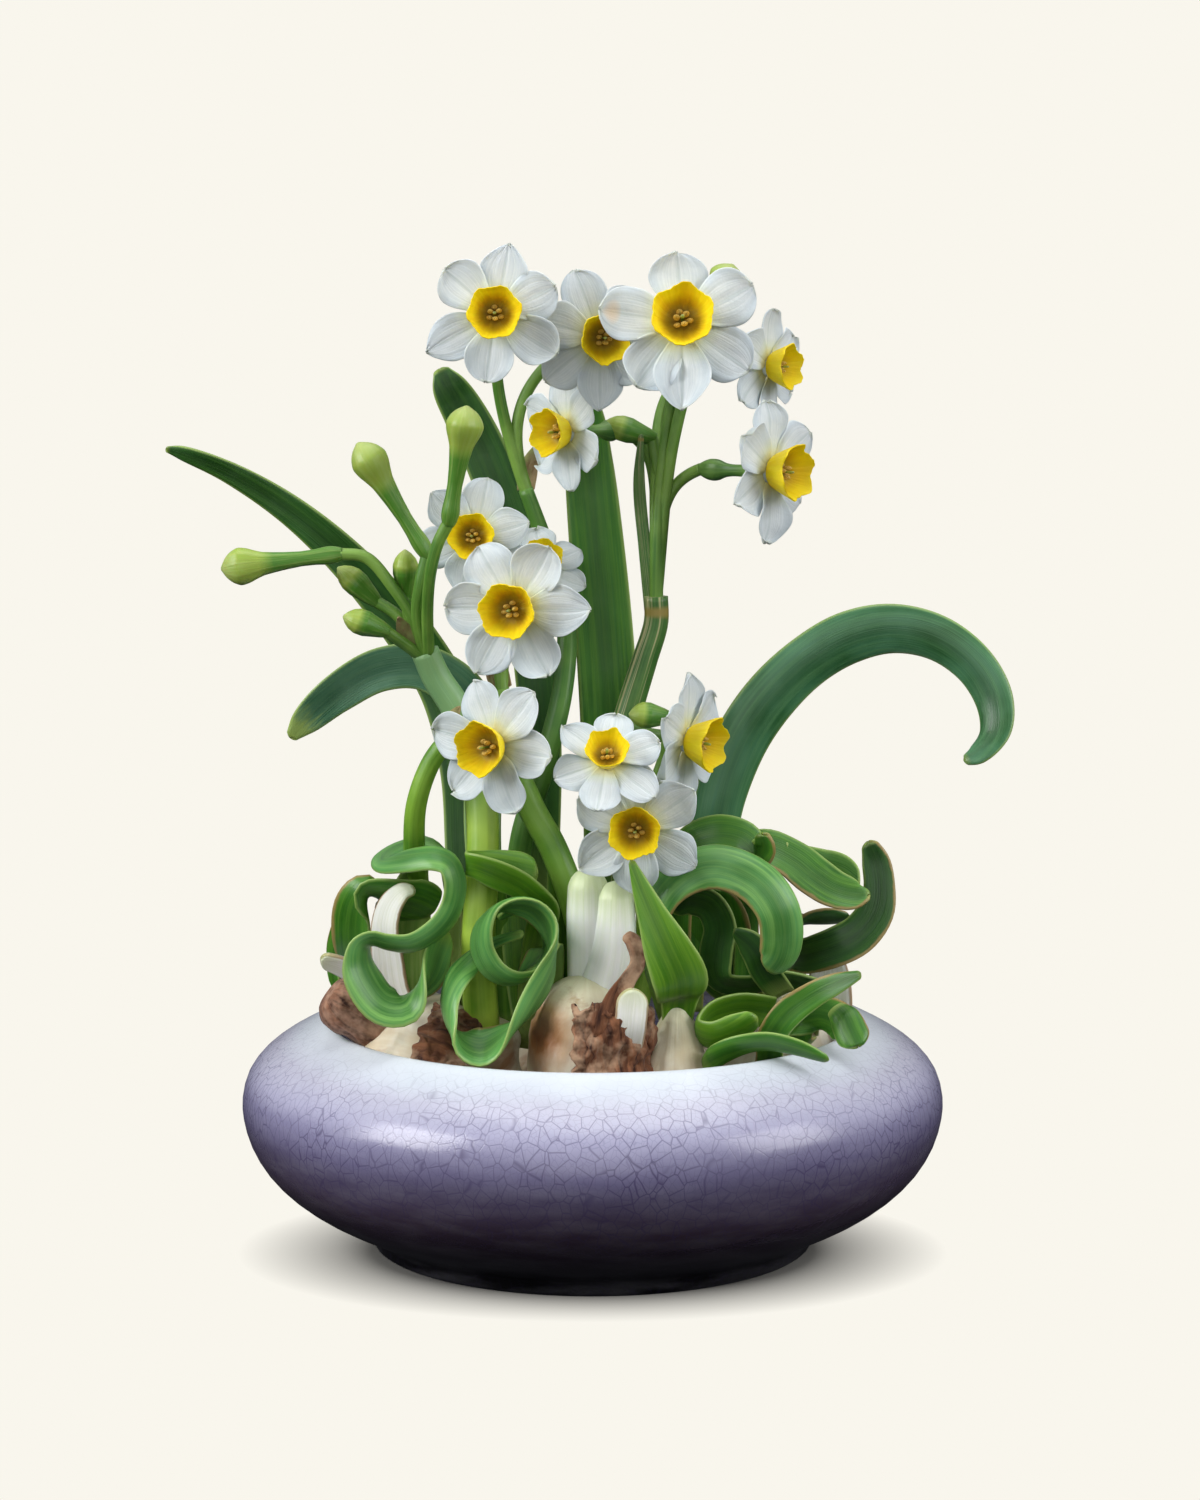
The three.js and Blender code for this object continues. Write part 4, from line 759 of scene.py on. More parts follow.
def turned(form, profile, sides, base=(0, 0, 0), axis=(0, 0, 1), shape=None, material=0, fine=4, smooth=True):
    """A solid turned about an axis from a base; shape(points) may dent it before it is aimed."""
    flat = [[r, h, 0] for r, h in profile]
    last = len(profile) - 1
    shares = [(k + step / fine) / last for k in range(last) for step in range(fine)]
    rows = [(spline if smooth else along)(flat, u)[:2] for u in shares]
    rows = np.array([*rows, profile[-1]], float)
    rows[:, 0] = np.maximum(rows[:, 0], NEAR_AXIS)
    rows[:, 1] = np.clip(rows[:, 1], min(h for _, h in profile), max(h for _, h in profile))
    angle = np.linspace(0, 2 * math.pi, sides + 1)
    points = round_about(rows[:, :1], angle[:-1], rows[:, 1:])
    if shape:
        points = shape(points)
    points = points @ aim_at(axis).T + np.array(base, float)
    pace = pace_along(rows)[:, None]
    size = grid(angle * rows[:, 0].max() / 10, pace / 10)
    form.add(points, size, grid(angle / (2 * math.pi), pace / pace[-1]), material)


# Materials


class Shader:
    """One material: each method adds nodes and returns their output."""

    def __init__(self, name, **values):
        self.material = bpy.data.materials.new(name)
        self.material.use_nodes = True
        self.tree = self.material.node_tree
        self.surface = self.tree.nodes["Principled BSDF"]
        for key, value in values.items():
            self.surface.inputs[key.replace("_", " ")].default_value = value

    def node(self, kind, links=(), **settings):
        node = self.tree.nodes.new("ShaderNode" + kind)
        for key, value in settings.items():
            setattr(node, key, value)
        for socket, value in links:
            if isinstance(value, bpy.types.NodeSocket):
                self.tree.links.new(value, node.inputs[socket])
            else:
                node.inputs[socket].default_value = value
        return node

    def mapped(self, vector, scale, location=(0, 0, 0)):
        return self.node("Mapping", [("Vector", vector), ("Scale", scale), ("Location", location)]).outputs[0]

    def uv(self, name, stretch=(1, 1, 1)):
        return self.mapped(self.node("UVMap", uv_map=name).outputs[0], stretch)

    def space(self):
        """The place on the object, in millimetres."""
        return self.mapped(self.node("TexCoord").outputs["Object"], (1 / MM,) * 3)

    def part(self, vector, axis):
        return self.node("SeparateXYZ", [(0, vector)]).outputs[axis]

    def reach(self):
        """From 0 at the foot of a form to 1 at its end."""
        return self.part(self.uv("place"), 1)

    def across(self):
        """From 0 along the middle of a blade to 1 at both edges."""
        return self.maths("ABSOLUTE", self.maths("MULTIPLY_ADD", self.part(self.uv("place"), 0), 2.0, -1.0))

    def noise(self, vector, scale, detail=3.0, rough=0.5, distortion=0.0):
        links = [("Vector", vector), ("Scale", scale), ("Detail", detail), ("Roughness", rough)]
        return self.node("TexNoise", links + [("Distortion", distortion)]).outputs[0]

    def streaks(self, name, wide, high, detail=3.0, rough=0.6):
        """Noise stretched along a UV map: how often it changes across and along the form."""
        return self.noise(self.uv(name, (wide, high, 1)), 1.0, detail, rough)

    def ramp(self, value, *stops):
        node = self.node("ValToRGB", [(0, value)])
        elements = node.color_ramp.elements
        elements[0].position, elements[1].position = stops[0][0], stops[-1][0]
        for place, _ in stops[1:-1]:
            elements.new(place)
        for element, (_, colour) in zip(elements, stops):
            grey = isinstance(colour, (int, float))
            element.color = (colour, colour, colour, 1) if grey else (*colour, 1)
        return node.outputs[0]

    def mix(self, share, a, b, way="MIX"):
        a, b = [(*value, 1) if isinstance(value, tuple) else value for value in (a, b)]
        return self.node("Mix", [(0, share), (6, a), (7, b)], data_type="RGBA", blend_type=way).outputs[2]

    def layered(self, base, *layers):
        """A base colour under layers, each a colour, the value it follows, and stops from value to share."""
        for colour, value, *stops in layers:
            base = self.mix(self.ramp(value, *stops), base, colour)
        return base

    def maths(self, way, a, b=0.0, c=0.0):
        return self.node("Math", [(0, a), (1, b), (2, c)], operation=way).outputs[0]

    def link(self, value, socket):
        self.tree.links.new(value, self.surface.inputs[socket])

    def done(self, colour, height, depth, strength, roughness=None):
        """Links the colour, the roughness and a relief whose depth is in millimetres."""
        self.link(colour, "Base Color")
        if roughness is not None:
            self.link(roughness, "Roughness")
        bump = self.node("Bump", [("Height", height), ("Strength", strength), ("Distance", depth * MM)])
        self.link(bump.outputs[0], "Normal")
        return self.material


def leaf_material(name, dark, light, dusty, cut=None, tipped=False):
    """A waxy leaf with long stripes, painted shade along its middle and thin light edges; cut is the side, 1
    or -1, with a brown cut edge.
    """
    shader = Shader(name, Roughness=0.36, Specular_IOR_Level=0.42, Coat_Weight=0.12, Coat_Roughness=0.25)
    across, reach = shader.across(), shader.reach()
    streaks, fine = shader.streaks("size", 8, 0.22), shader.streaks("size", 34, 0.35, 2, 0.5)
    layers = [
        (dusty, shader.streaks("size", 0.7, 0.35, 3, 0.5), (0.36, 0), (0.66, 1)),
        (light, streaks, (0.42, 0), (0.72, 0.7)),
        (light, fine, (0.5, 0), (0.75, 0.25)),
        # painted shade: darker along the middle of the blade, fading out towards the edges
        (tuple(0.5 * value for value in dark), across, (0.0, 0.5), (0.75, 0)),
        ((0.33, 0.47, 0.12), across, (0.88, 0), (1.0, 0.85)),
    ]
    if cut:
        side = shader.part(shader.uv("place"), 0)
        if cut < 0:
            side = shader.maths("SUBTRACT", 1.0, side)
        scar = shader.maths("MULTIPLY_ADD", shader.streaks("size", 2, 0.9, 4, 0.65), 0.2, side)
        layers.append(((0.34, 0.22, 0.08), shader.maths("SUBTRACT", scar, 0.5), (0.52, 0), (0.57, 0.85)))
    layers += [
        ((0.3, 0.45, 0.3), shader.noise(shader.uv("size"), 1.1, 4, 0.6), (0.52, 0), (0.85, 0.06)),
        ((0.3, 0.4, 0.1), reach, (0.02, 0.9), (0.16, 0)),
        ((0.25, 0.34, 0.06), reach, (0.97, 0), (1.0, 0.6)),
    ]
    if tipped:
        ragged = shader.maths("MULTIPLY_ADD", shader.streaks("size", 9, 0.8, 3, 0.5), 0.16, reach)
        layers.append(((0.33, 0.45, 0.1), ragged, (0.93, 0), (1.0, 0.85)))
    rough = shader.ramp(streaks, (0.3, 0.32), (0.7, 0.48))
    return shader.done(shader.layered(dark, *layers), shader.mix(0.5, fine, streaks), 0.25, 0.7, rough)


def petal_material(warm=False):
    """White tepals with fine ribs, painted grey-blue shade along the midrib groove and towards the edges,
    green and yellow towards the cup.
    """
    shader = Shader(
        "petal warm" if warm else "petal", Roughness=0.55, Specular_IOR_Level=0.35, Subsurface_Weight=0.35,
        Subsurface_Scale=0.004, Subsurface_Radius=(1.0, 1.0, 0.9), Sheen_Weight=0.15,
    )
    across, reach = shader.across(), shader.reach()
    ribs = shader.streaks("place", 26, 1.3, 2, 0.5)
    layers = [
        ((0.82, 0.88, 0.9), shader.streaks("size", 1.2, 0.8, 3, 0.5), (0.35, 0), (0.65, 1)),
        ((0.52, 0.61, 0.66), ribs, (0.42, 0), (0.7, 0.5)),
        # painted grey-blue shade along the midrib groove
        ((0.5, 0.6, 0.6), across, (0.0, 0.5), (0.1, 0)),
        # painted grey-blue shade towards the edges of the tepal
        ((0.45, 0.56, 0.65), across, (0.4, 0), (0.95, 0.5)),
        ((0.8, 0.86, 0.86), across, (0.92, 0), (1.0, 0.6)),
        ((0.62, 0.7, 0.36), reach, (0.2, 0.75), (0.5, 0)),
        ((0.75, 0.62, 0.12), reach, (0.12, 0.85), (0.36, 0)),
        ((0.66, 0.72, 0.5), reach, (0.96, 0), (1.0, 0.5)),
    ]
    if warm:
        ahead = shader.maths("POWER", shader.maths("SUBTRACT", reach, 0.86), 2.0)
        spot = shader.maths("MULTIPLY_ADD", shader.maths("POWER", across, 2.0), 0.05, ahead)
        layers.append(((0.9, 0.6, 0.3), spot, (0.0, 0.55), (0.016, 0)))
    crinkle = shader.mix(0.35, ribs, shader.noise(shader.uv("size"), 9.0, 3))
    return shader.done(shader.layered((0.64, 0.72, 0.75), *layers), crinkle, 0.35, 0.8)


def corona_material():
    """The cup: yellow turning orange at its rim, with painted dark olive shade in its throat; "place" runs
    from outside to inside.
    """
    shader = Shader(
        "corona", Roughness=0.5, Specular_IOR_Level=0.3, Subsurface_Weight=0.35, Subsurface_Scale=0.003,
        Subsurface_Radius=(1.0, 0.8, 0.1),
    )
    reach, pleats = shader.reach(), shader.streaks("place", 34, 1.5)
    wobble = shader.maths("MULTIPLY_ADD", shader.streaks("place", 12, 1, 3, 0.5), 0.1, -0.05)
    colour = shader.layered(
        (0.95, 0.64, 0.008),
        ((1.0, 0.76, 0.012), shader.noise(shader.uv("size"), 1.8, 3), (0.35, 0), (0.65, 1)),
        ((0.9, 0.54, 0.005), pleats, (0.4, 0), (0.75, 0.4)),
        # painted shade: dark olive deep in the cup and on its floor, where the throat leads into the tube
        ((0.16, 0.1, 0.01), shader.maths("ADD", reach, wobble), (0.72, 0), (0.95, 0.9)),
        ((0.97, 0.62, 0.0), reach, (0.42, 0), (0.5, 0.4), (0.56, 0)),
        ((0.62, 0.55, 0.05), reach, (0.0, 0.6), (0.2, 0)),
    )
    return shader.done(colour, pleats, 0.35, 0.9)


def anther_material():
    shader = Shader("anther", Roughness=0.85)
    grains = shader.noise(shader.space(), 5.0, 3)
    colour = shader.layered((0.42, 0.24, 0.03), ((0.9, 0.66, 0.16), grains, (0.35, 0), (0.65, 1)))
    return shader.done(colour, grains, 0.2, 1.0)


def stem_material(name, dark, light, cream=0.0, ring=None, head=None):
    """A fleshy stem with long stripes; ring is where it has a collar, head the colour of its top."""
    shader = Shader(name, Roughness=0.42, Specular_IOR_Level=0.4, Coat_Weight=0.06, Coat_Roughness=0.3)
    reach, streaks = shader.reach(), shader.streaks("place", 16, 0.8)
    layers = [
        (light, shader.noise(shader.space(), 0.06, 3), (0.38, 0), (0.62, 1)),
        (light, streaks, (0.4, 0), (0.7, 0.7)),
    ]
    if cream:
        pale = shader.streaks("place", 22, 1.6, 2, 0.5)
        layers.append(((0.42, 0.4, 0.2), pale, (0.55, 0), (0.62, cream)))
    if head:
        layers.append((head, reach, (0.5, 0), (0.85, 0.8)))
    if ring:
        collar = shader.maths("ABSOLUTE", shader.maths("SUBTRACT", reach, ring))
        layers.append(((0.3, 0.22, 0.05), collar, (0.006, 0.9), (0.016, 0)))
    rough = shader.ramp(streaks, (0.3, 0.35), (0.7, 0.52))
    return shader.done(shader.layered(dark, *layers), streaks, 0.25, 0.8, rough)


def bud_material():
    """A closed bud: light yellow-green with whitish ribs and seams, darker towards its foot."""
    shader = Shader(
        "bud", Roughness=0.4, Specular_IOR_Level=0.4, Subsurface_Weight=0.08, Subsurface_Scale=0.001,
    )
    reach, streaks = shader.reach(), shader.streaks("place", 20, 1.2)
    colour = shader.layered(
        (0.075, 0.22, 0.02),
        ((0.3, 0.42, 0.06), reach, (0.56, 0), (0.68, 1)),
        ((0.44, 0.54, 0.17), streaks, (0.45, 0), (0.75, 0.45)),
        ((0.5, 0.56, 0.24), reach, (0.85, 0), (1.0, 0.5)),
    )
    return shader.done(colour, streaks, 0.3, 0.8)


def paper_material(name, dark, light, patch):
    """Dry papery skin: veined, mottled and matte."""
    shader = Shader(name, Roughness=0.78, Specular_IOR_Level=0.25, Sheen_Weight=0.1)
    veins = shader.noise(shader.uv("size", (2.6, 0.5, 1)), 1.6, 4, 0.55, 1.2)
    broad = shader.noise(shader.space(), 0.1, 4, 0.6)
    layers = (light, veins, (0.34, 0), (0.66, 1)), (patch, broad, (0.48, 0), (0.62, 0.85))
    colour = shader.layered(dark, *layers)
    crumple = shader.noise(shader.space(), 0.24, 4, 0.55)
    return shader.done(colour, shader.mix(0.6, veins, crumple), 0.9, 0.9)


def bulb_material(name, stain, spot=None):
    """Cream bulb scales with fine veins and a brown stain; spot is the place and size of a burnt patch."""
    shader = Shader(
        name, Roughness=0.46, Specular_IOR_Level=0.4, Subsurface_Weight=0.1, Subsurface_Scale=0.003,
        Subsurface_Radius=(1.0, 0.7, 0.45),
    )
    veins = shader.streaks("place", 30, 1.6, 4)
    patches = shader.noise(shader.space(), 0.045, 5, 0.62, 0.8)
    layers = [
        ((0.82, 0.78, 0.66), shader.noise(shader.space(), 0.07, 4, 0.6), (0.35, 0), (0.65, 1)),
        ((0.56, 0.42, 0.26), veins, (0.42, 0), (0.72, 0.55)),
        ((0.36, 0.14, 0.04), patches, (0.53, 0), (0.64, stain)),
    ]
    if spot:
        away = shader.node("VectorMath", [(0, shader.space()), (1, spot[:3])], operation="DISTANCE")
        burnt = shader.maths("ADD", patches, shader.maths("DIVIDE", away.outputs["Value"], spot[3]))
        scaled = shader.maths("MULTIPLY", burnt, 0.5)
        layers.append(((0.46, 0.17, 0.04), scaled, (0.45, 0.9), (0.75, 0)))
        layers.append(((0.13, 0.04, 0.015), scaled, (0.3, 0.8), (0.5, 0)))
    layers.append(((0.6, 0.66, 0.4), shader.reach(), (0.72, 0), (0.98, 0.6)))
    relief = shader.mix(0.4, veins, shader.noise(shader.space(), 0.3, 4))
    return shader.done(shader.layered((0.66, 0.56, 0.38), *layers), relief, 0.5, 0.9)


def scale_material():
    """A thick white scale leaf with a brown cut edge and a green tip."""
    shader = Shader(
        "scale leaf", Roughness=0.42, Specular_IOR_Level=0.4, Subsurface_Weight=0.15,
        Subsurface_Scale=0.003, Subsurface_Radius=(1.0, 0.9, 0.6),
    )
    streaks = shader.streaks("place", 14, 1.1)
    ragged = shader.maths("MULTIPLY_ADD", shader.noise(shader.uv("size"), 2.5, 3), 0.1, shader.across())
    colour = shader.layered(
        (0.9, 0.9, 0.84),
        ((0.72, 0.74, 0.6), streaks, (0.4, 0), (0.7, 0.7)),
        ((0.3, 0.16, 0.05), ragged, (0.93, 0), (1.0, 0.85)),
        ((0.5, 0.58, 0.25), shader.reach(), (0.7, 0), (1.0, 0.6)),
    )
    return shader.done(colour, streaks, 0.3, 0.8)


def shoot_material():
    """The fat shoots: white flesh, green towards the tips."""
    shader = Shader(
        "shoot", Roughness=0.38, Specular_IOR_Level=0.45, Subsurface_Weight=0.2, Subsurface_Scale=0.003,
        Subsurface_Radius=(1.0, 0.9, 0.6),
    )
    streaks = shader.streaks("place", 26, 1.1)
    depth = shader.maths("MULTIPLY_ADD", streaks, 0.16, shader.reach())
    colour = shader.layered(
        (0.93, 0.95, 0.9),
        ((0.8, 0.86, 0.74), streaks, (0.4, 0), (0.7, 0.7)),
        ((0.5, 0.62, 0.18), depth, (0.82, 0), (1.0, 0.6)),
    )
    return shader.done(colour, streaks, 0.3, 0.8)


# The glaze colour by height, from the foot, 0, to above the lip, 1: partly the glaze's own tones, partly
# painted shade that darkens the lower side and the foot, and a painted highlight band near 0.77.
GLAZE_HEIGHT = 64.0
GLAZE_TONES_AND_PAINTED_LIGHT = [
    (0.0, (0.003, 0.003, 0.003)), (0.1, (0.005, 0.004, 0.005)), (0.25, (0.03, 0.018, 0.032)),
    (0.37, (0.058, 0.038, 0.064)), (0.45, (0.08, 0.06, 0.106)), (0.53, (0.102, 0.086, 0.152)),
    # the stop at 0.77 is raised above its neighbours for a painted highlight band on the shoulder
    (0.61, (0.155, 0.14, 0.25)), (0.7, (0.245, 0.233, 0.372)), (0.77, (0.38, 0.373, 0.52)),
    (0.86, (0.47, 0.47, 0.58)), (0.92, (0.6, 0.64, 0.72)), (0.97, (0.68, 0.73, 0.79)),
]
CRACK_SHARES = [(0.2, 0.2), (0.4, 0.6), (0.6, 0.75), (0.84, 0.55), (0.95, 0.05)]
CRACK_COLOUR = (0.055, 0.04, 0.11)


def glaze_material():
    """Crackle glaze: pale lip, lavender shoulder, purple side, black foot, and a net of dark cracks; the
    darkening towards the foot is partly painted shade, and a painted highlight band crosses the shoulder.
    """
    shader = Shader(
        "crackle glaze", Roughness=0.3, Specular_IOR_Level=0.4, Coat_Weight=0.12, Coat_Roughness=0.15,
    )
    place = shader.space()
    drift = shader.maths("MULTIPLY_ADD", shader.noise(place, 0.025, 4, 0.6), 6.0, -3.0)
    tone = shader.maths("DIVIDE", shader.maths("ADD", shader.part(place, 2), drift), GLAZE_HEIGHT)
    # colour by height, carrying the painted shade and the painted highlight band of the ramp
    glaze = shader.ramp(tone, *GLAZE_TONES_AND_PAINTED_LIGHT)
    bend = shader.node("TexNoise", [("Vector", place), ("Scale", 0.12), ("Detail", 3.0)]).outputs[1]
    tall = shader.mapped(shader.mix(0.5, place, bend, "ADD"), (1.0, 1.0, 0.72))
    large, small = [
        shader.node("TexVoronoi", [("Vector", tall), ("Scale", scale)], feature="DISTANCE_TO_EDGE").outputs[0]
        for scale in (0.3, 0.62)
    ]
    faint = shader.maths("MULTIPLY", shader.ramp(small, (0.0, 0.8), (0.06, 0)), 0.5)
    net = shader.maths("MAXIMUM", shader.ramp(large, (0.0, 1.0), (0.055, 0)), faint)
    patchy = shader.ramp(shader.noise(place, 0.035, 3), (0.3, 0.45), (0.6, 1.0))
    shown = shader.ramp(tone, *CRACK_SHARES)
    cracks = shader.maths("MULTIPLY", shader.maths("MULTIPLY", net, patchy), shown)
    smears = shader.noise(shader.mapped(place, (0.5, 0.5, 2.2)), 0.12, 4)
    milky = shader.mix(0.6, glaze, (0.8, 0.8, 0.9))
    smeared = shader.layered(glaze, (milky, smears, (0.4, 0), (0.75, 0.1)))
    rough = shader.ramp(tone, (0.1, 0.3), (0.5, 0.24), (0.95, 0.18))
    sunk = shader.maths("SUBTRACT", 1.0, net)
    return shader.done(shader.mix(cracks, smeared, CRACK_COLOUR), sunk, 0.04, 0.5, rough)


def water_material():
    shader = Shader("water", Roughness=0.03, Transmission_Weight=0.9, IOR=1.33)
    ripples = shader.noise(shader.space(), 0.05, 2)
    return shader.done(shader.mix(ripples, (0.62, 0.74, 0.72), (0.78, 0.86, 0.84)), ripples, 0.2, 0.3)


BACKDROP = (0.947, 0.922, 0.847)
BLACK = (0.0, 0.0, 0.0)


def floor_material():
    """Cream; past the pot it shines by itself, so that the floor runs into the backdrop without a line."""
    shader = Shader("floor", Roughness=0.9, Specular_IOR_Level=0.0, Emission_Strength=1.0)
    flat = shader.mapped(shader.space(), (1.0, 1.35, 0.0), (0.0, 16.0, 0.0))
    reach = shader.node("VectorMath", [(0, flat)], operation="LENGTH").outputs["Value"]
    own = shader.ramp(shader.maths("DIVIDE", reach, 200.0), (0.3, 0), (0.48, 1))
    lit = shader.mix(shader.noise(flat, 0.02, 2), (0.3, 0.292, 0.272), (0.305, 0.297, 0.277))
    shader.link(shader.mix(own, lit, BLACK), "Base Color")
    shader.link(shader.mix(own, BLACK, BACKDROP), "Emission Color")
    return shader.material

# Bowl and water

WATER_OUTSIDE = [
    [0, 9.3], [55.7, 9.3], [67.3, 12.8], [79.3, 20.2], [86.6, 28.2], [87.6, WATER_LEVEL], [0, WATER_LEVEL],
]


def make_bowl():
    form = Form()
    turned(form, BOWL_OUTSIDE + BOWL_INSIDE, 160, fine=2)
    form.finish("bowl_glazed", "bowl", [glaze_material()])


def make_water():
    form = Form()
    turned(form, WATER_OUTSIDE, 96, smooth=False)
    form.finish("water_pool", "water", [water_material()])


# Bulbs


def layers(scales, seed, rough=0.6):
    """Scales wrapped round a bulb, each by the angle of its middle, its height there, fall and thickness."""

    def shape(points):
        angle = np.arctan2(points[..., 1], points[..., 0])
        circle = round_about(1, angle, 0) * 10
        out = rough * ripple(points, 22, seed) + 0.22 * ripple(points * np.array([1, 1, 0.25]), 5, seed + 1)
        for middle, top, fall, thick in scales:
            edge = top - fall * (1 - np.cos(angle - middle)) + 1.3 * ripple(circle, 9, seed + 2 + top)
            out = out + thick * (1 - smoothstep(edge - 0.7, edge + 0.7, points[..., 2]) - 0.7)
        reach = np.linalg.norm(points[..., :2], axis=-1, keepdims=True)
        outward = points[..., :2] / np.maximum(reach, 1e-6)
        moved = points.copy()
        moved[..., :2] += outward * out[..., None] * np.minimum(1, reach / 6)
        return moved

    return shape


def bulb(form, part, scales, seed, material=0, sides=84, fine=7):
    size = part.get("size", 1)
    profile = [[r * size, h * size] for r, h in part["profile"]]
    turned(form, profile, sides, part["base"], part["axis"], layers(scales, seed), material, fine)


def make_bulbs():
    cream = bulb_material("bulb cream", 0.75)
    stained = bulb_material("bulb stained", 0.95, (-15, -51, 69, 13))
    grey = bulb_material("bulb grey", 0.25)
    scale = scale_material()

    form = Form()
    bulb(form, LYING, [(2.4, 20, 9, 1.2), (-1.9, 33, 12, 1.0), (0.8, 28, 10, 1.1)], 11)
    bulb(form, LEFT_NECK, [(-1.2, 20, 8, 0.9), (1.6, 26, 8, 0.8), (-2.6, 12, 6, 0.9)], 12)
    leaf(form, **LEFT_SCALE, thick=1.1, material=1, seed=3)
    leaf(form, **LEFT_STRIP, thick=1.2, material=1, seed=4)
    form.finish("bulb_left_scales", "bulb_left", [cream, scale])

    form = Form()
    bulb(form, BULBS["middle"], [(-1.7, 46, 16, 1.4), (0.9, 54, 16, 1.2), (-2.9, 60, 14, 1.0)], 21)
    bulb(form, OFFSET, [(-1.4, 34, 18, 1.2), (0.6, 44, 14, 1.1), (-2.6, 50, 9, 0.9)], 22, 1)
    leaf(form, **WHITE_SCALE, thick=1.2, material=2, seed=6)
    form.finish("bulb_middle_scales", "bulb_middle", [stained, grey, scale])

    form = Form()
    bulb(form, BULBS["right"], [(-1.0, 46, 18, 1.3), (1.6, 54, 14, 1.1), (-2.6, 58, 9, 1.0)], 31)
    leaf(form, **RIGHT_SCALE, thick=1.1, material=1, seed=5)
    form.finish("bulb_right_scales", "bulb_right", [grey, scale])

    form = Form()
    bulb(form, BULBS["back"], [(1.4, 44, 18, 1.3), (-1.0, 52, 16, 1.2), (2.9, 58, 9, 1.0)], 41)
    form.finish("bulb_back_scales", "bulb_back", [cream])


SKIN_MIDDLE = {"turn": (-1.75, -0.4), "heights": (45, 68), "stand": 2.8, "seed": 51}
SKIN_LEFT = {"turn": (3.3, 4.1), "heights": (16, 30), "stand": 2.2, "seed": 61}
SKIN_RAGGED = 2.4  # how far its edges wander
SKIN_THICKNESS = 0.7
SKIN_REACH = 22  # about how far it lies from the bulb's axis


def skin(form, part, turn, heights, stand, seed, rows=44, columns=64):
    """A torn papery skin on a bulb, between two angles and two heights, standing off it in crumpled folds."""
    size = part.get("size", 1)
    profile = np.array(part["profile"], float) * size
    u, v = np.meshgrid(np.linspace(0, 1, columns), np.linspace(0, 1, rows))
    angle = turn[0] + (turn[1] - turn[0]) * u
    height = heights[0] + (heights[1] - heights[0]) * v
    flat = grid(angle * SKIN_REACH, height, 0)
    height = height + SKIN_RAGGED * ripple(flat, 9, seed) * (2 * v - 1) ** 2
    angle = angle + SKIN_RAGGED / SKIN_REACH * ripple(flat, 8, seed + 1) * (2 * u - 1) ** 2
    folds = [ripple(flat, scale, seed + k) for scale, k in ((19, 2), (9, 3))]
    broad, fine = [np.clip(1 - 1.4 * np.abs(fold), 0, 1) for fold in folds]
    lifted = 0.7 + stand * (0.75 * broad + 0.25 * fine) + 0.8 * np.maximum(0, 2 * v - 1.2)
    reach = np.interp(height, profile[:, 1], profile[:, 0]) + lifted
    points = round_about(reach, angle, height) @ aim_at(part["axis"]).T + np.array(part["base"], float)
    thickness = SKIN_THICKNESS * rounded(2 * u - 1) * rounded(2 * v - 1) + 0.08
    thin_solid(form, points, thickness, flat[..., :2] / 10, grid(u, v))


def make_skins():
    brown = paper_material("bulb skin brown", (0.03, 0.009, 0.005), (0.25, 0.1, 0.045), (0.46, 0.3, 0.19))
    root = paper_material("root plate", (0.035, 0.012, 0.008), (0.3, 0.14, 0.08), (0.5, 0.3, 0.2))
    form = Form()
    skin(form, LYING, **SKIN_LEFT)
    plate = {**ROOT_PLATE, "profile": [[r * 0.97, h] for r, h in ROOT_PLATE["profile"]]}
    bulb(form, plate, [(0.4, 9, 4, 0.5), (-2.0, 14, 3, 0.5)], 71, 1, 56, 6)
    form.finish("skin_left_papery", "skin_left", [brown, root])
    form = Form()
    skin(form, BULBS["middle"], **SKIN_MIDDLE)
    leaf(form, **SHRED, thick=0.7, wave=0.9, seed=9)
    form.finish("skin_middle_papery", "skin_middle", [brown])


# Leaves and carved curls

# The side of a curl that was cut, 1 or -1, has a brown edge.
CUT_SIDES = {
    "curl_outer": -1, "curl_ring": 1, "curl_loop": 1, "curl_big": -1, "curl_fold": 1, "curl_top": 1,
    "curl_hook": 1, "curl_blade": -1, "curl_cut": 1, "curl_rim": -1,
}
# The dark, light and dusty colour of each kind of leaf.
LEAF_COLOURS = {
    GREEN: ((0.026, 0.13, 0.006), (0.13, 0.34, 0.025), (0.07, 0.25, 0.03)),
    DEEP_GREEN: ((0.012, 0.065, 0.006), (0.055, 0.17, 0.018), (0.035, 0.125, 0.025)),
    BLUE_GREEN: ((0.036, 0.175, 0.02), (0.26, 0.54, 0.12), (0.15, 0.42, 0.12)),
    BRIGHT_GREEN: ((0.05, 0.18, 0.005), (0.2, 0.4, 0.02), (0.1, 0.27, 0.015)),
}
INNER_COLOURS = ((0.12, 0.25, 0.03), (0.42, 0.52, 0.16), (0.25, 0.38, 0.08))
ARCH_COLOURS = ((0.018, 0.1, 0.022), (0.1, 0.27, 0.1), (0.085, 0.25, 0.13))
DROOP_COLOURS = ((0.04, 0.15, 0.07), (0.15, 0.31, 0.16), (0.15, 0.33, 0.21))
# Narrow leaves deep between the curls: the node they belong to, and their routes.
INNER_LEAVES = {
    "curl_ring": [
        [
            [-49, -23, 60, 10], [-50, -22, 78, 12.5], [-49.5, -22, 92, 13], [-47.5, -22, 103, 9],
            [-45, -22, 108, 3],
        ],
    ],
    "curl_tongue": [
        [[-25, -19, 60, 7], [-25.5, -19.5, 75, 8], [-25.5, -20, 92, 7], [-25, -20, 103, 3]],
        [[-8, -17, 62, 9], [-8, -18, 80, 9], [-8.5, -19, 96, 8], [-10, -20, 107, 4]],
    ],
    "curl_fold": [
        [[26, -14, 66, 7], [26, -14, 80, 8], [26.5, -14, 95, 7], [28, -15, 103, 4]],
        [[41, -16, 68, 7], [41, -16, 80, 7], [41, -16, 95, 6], [40, -17, 102, 3]],
    ],
}


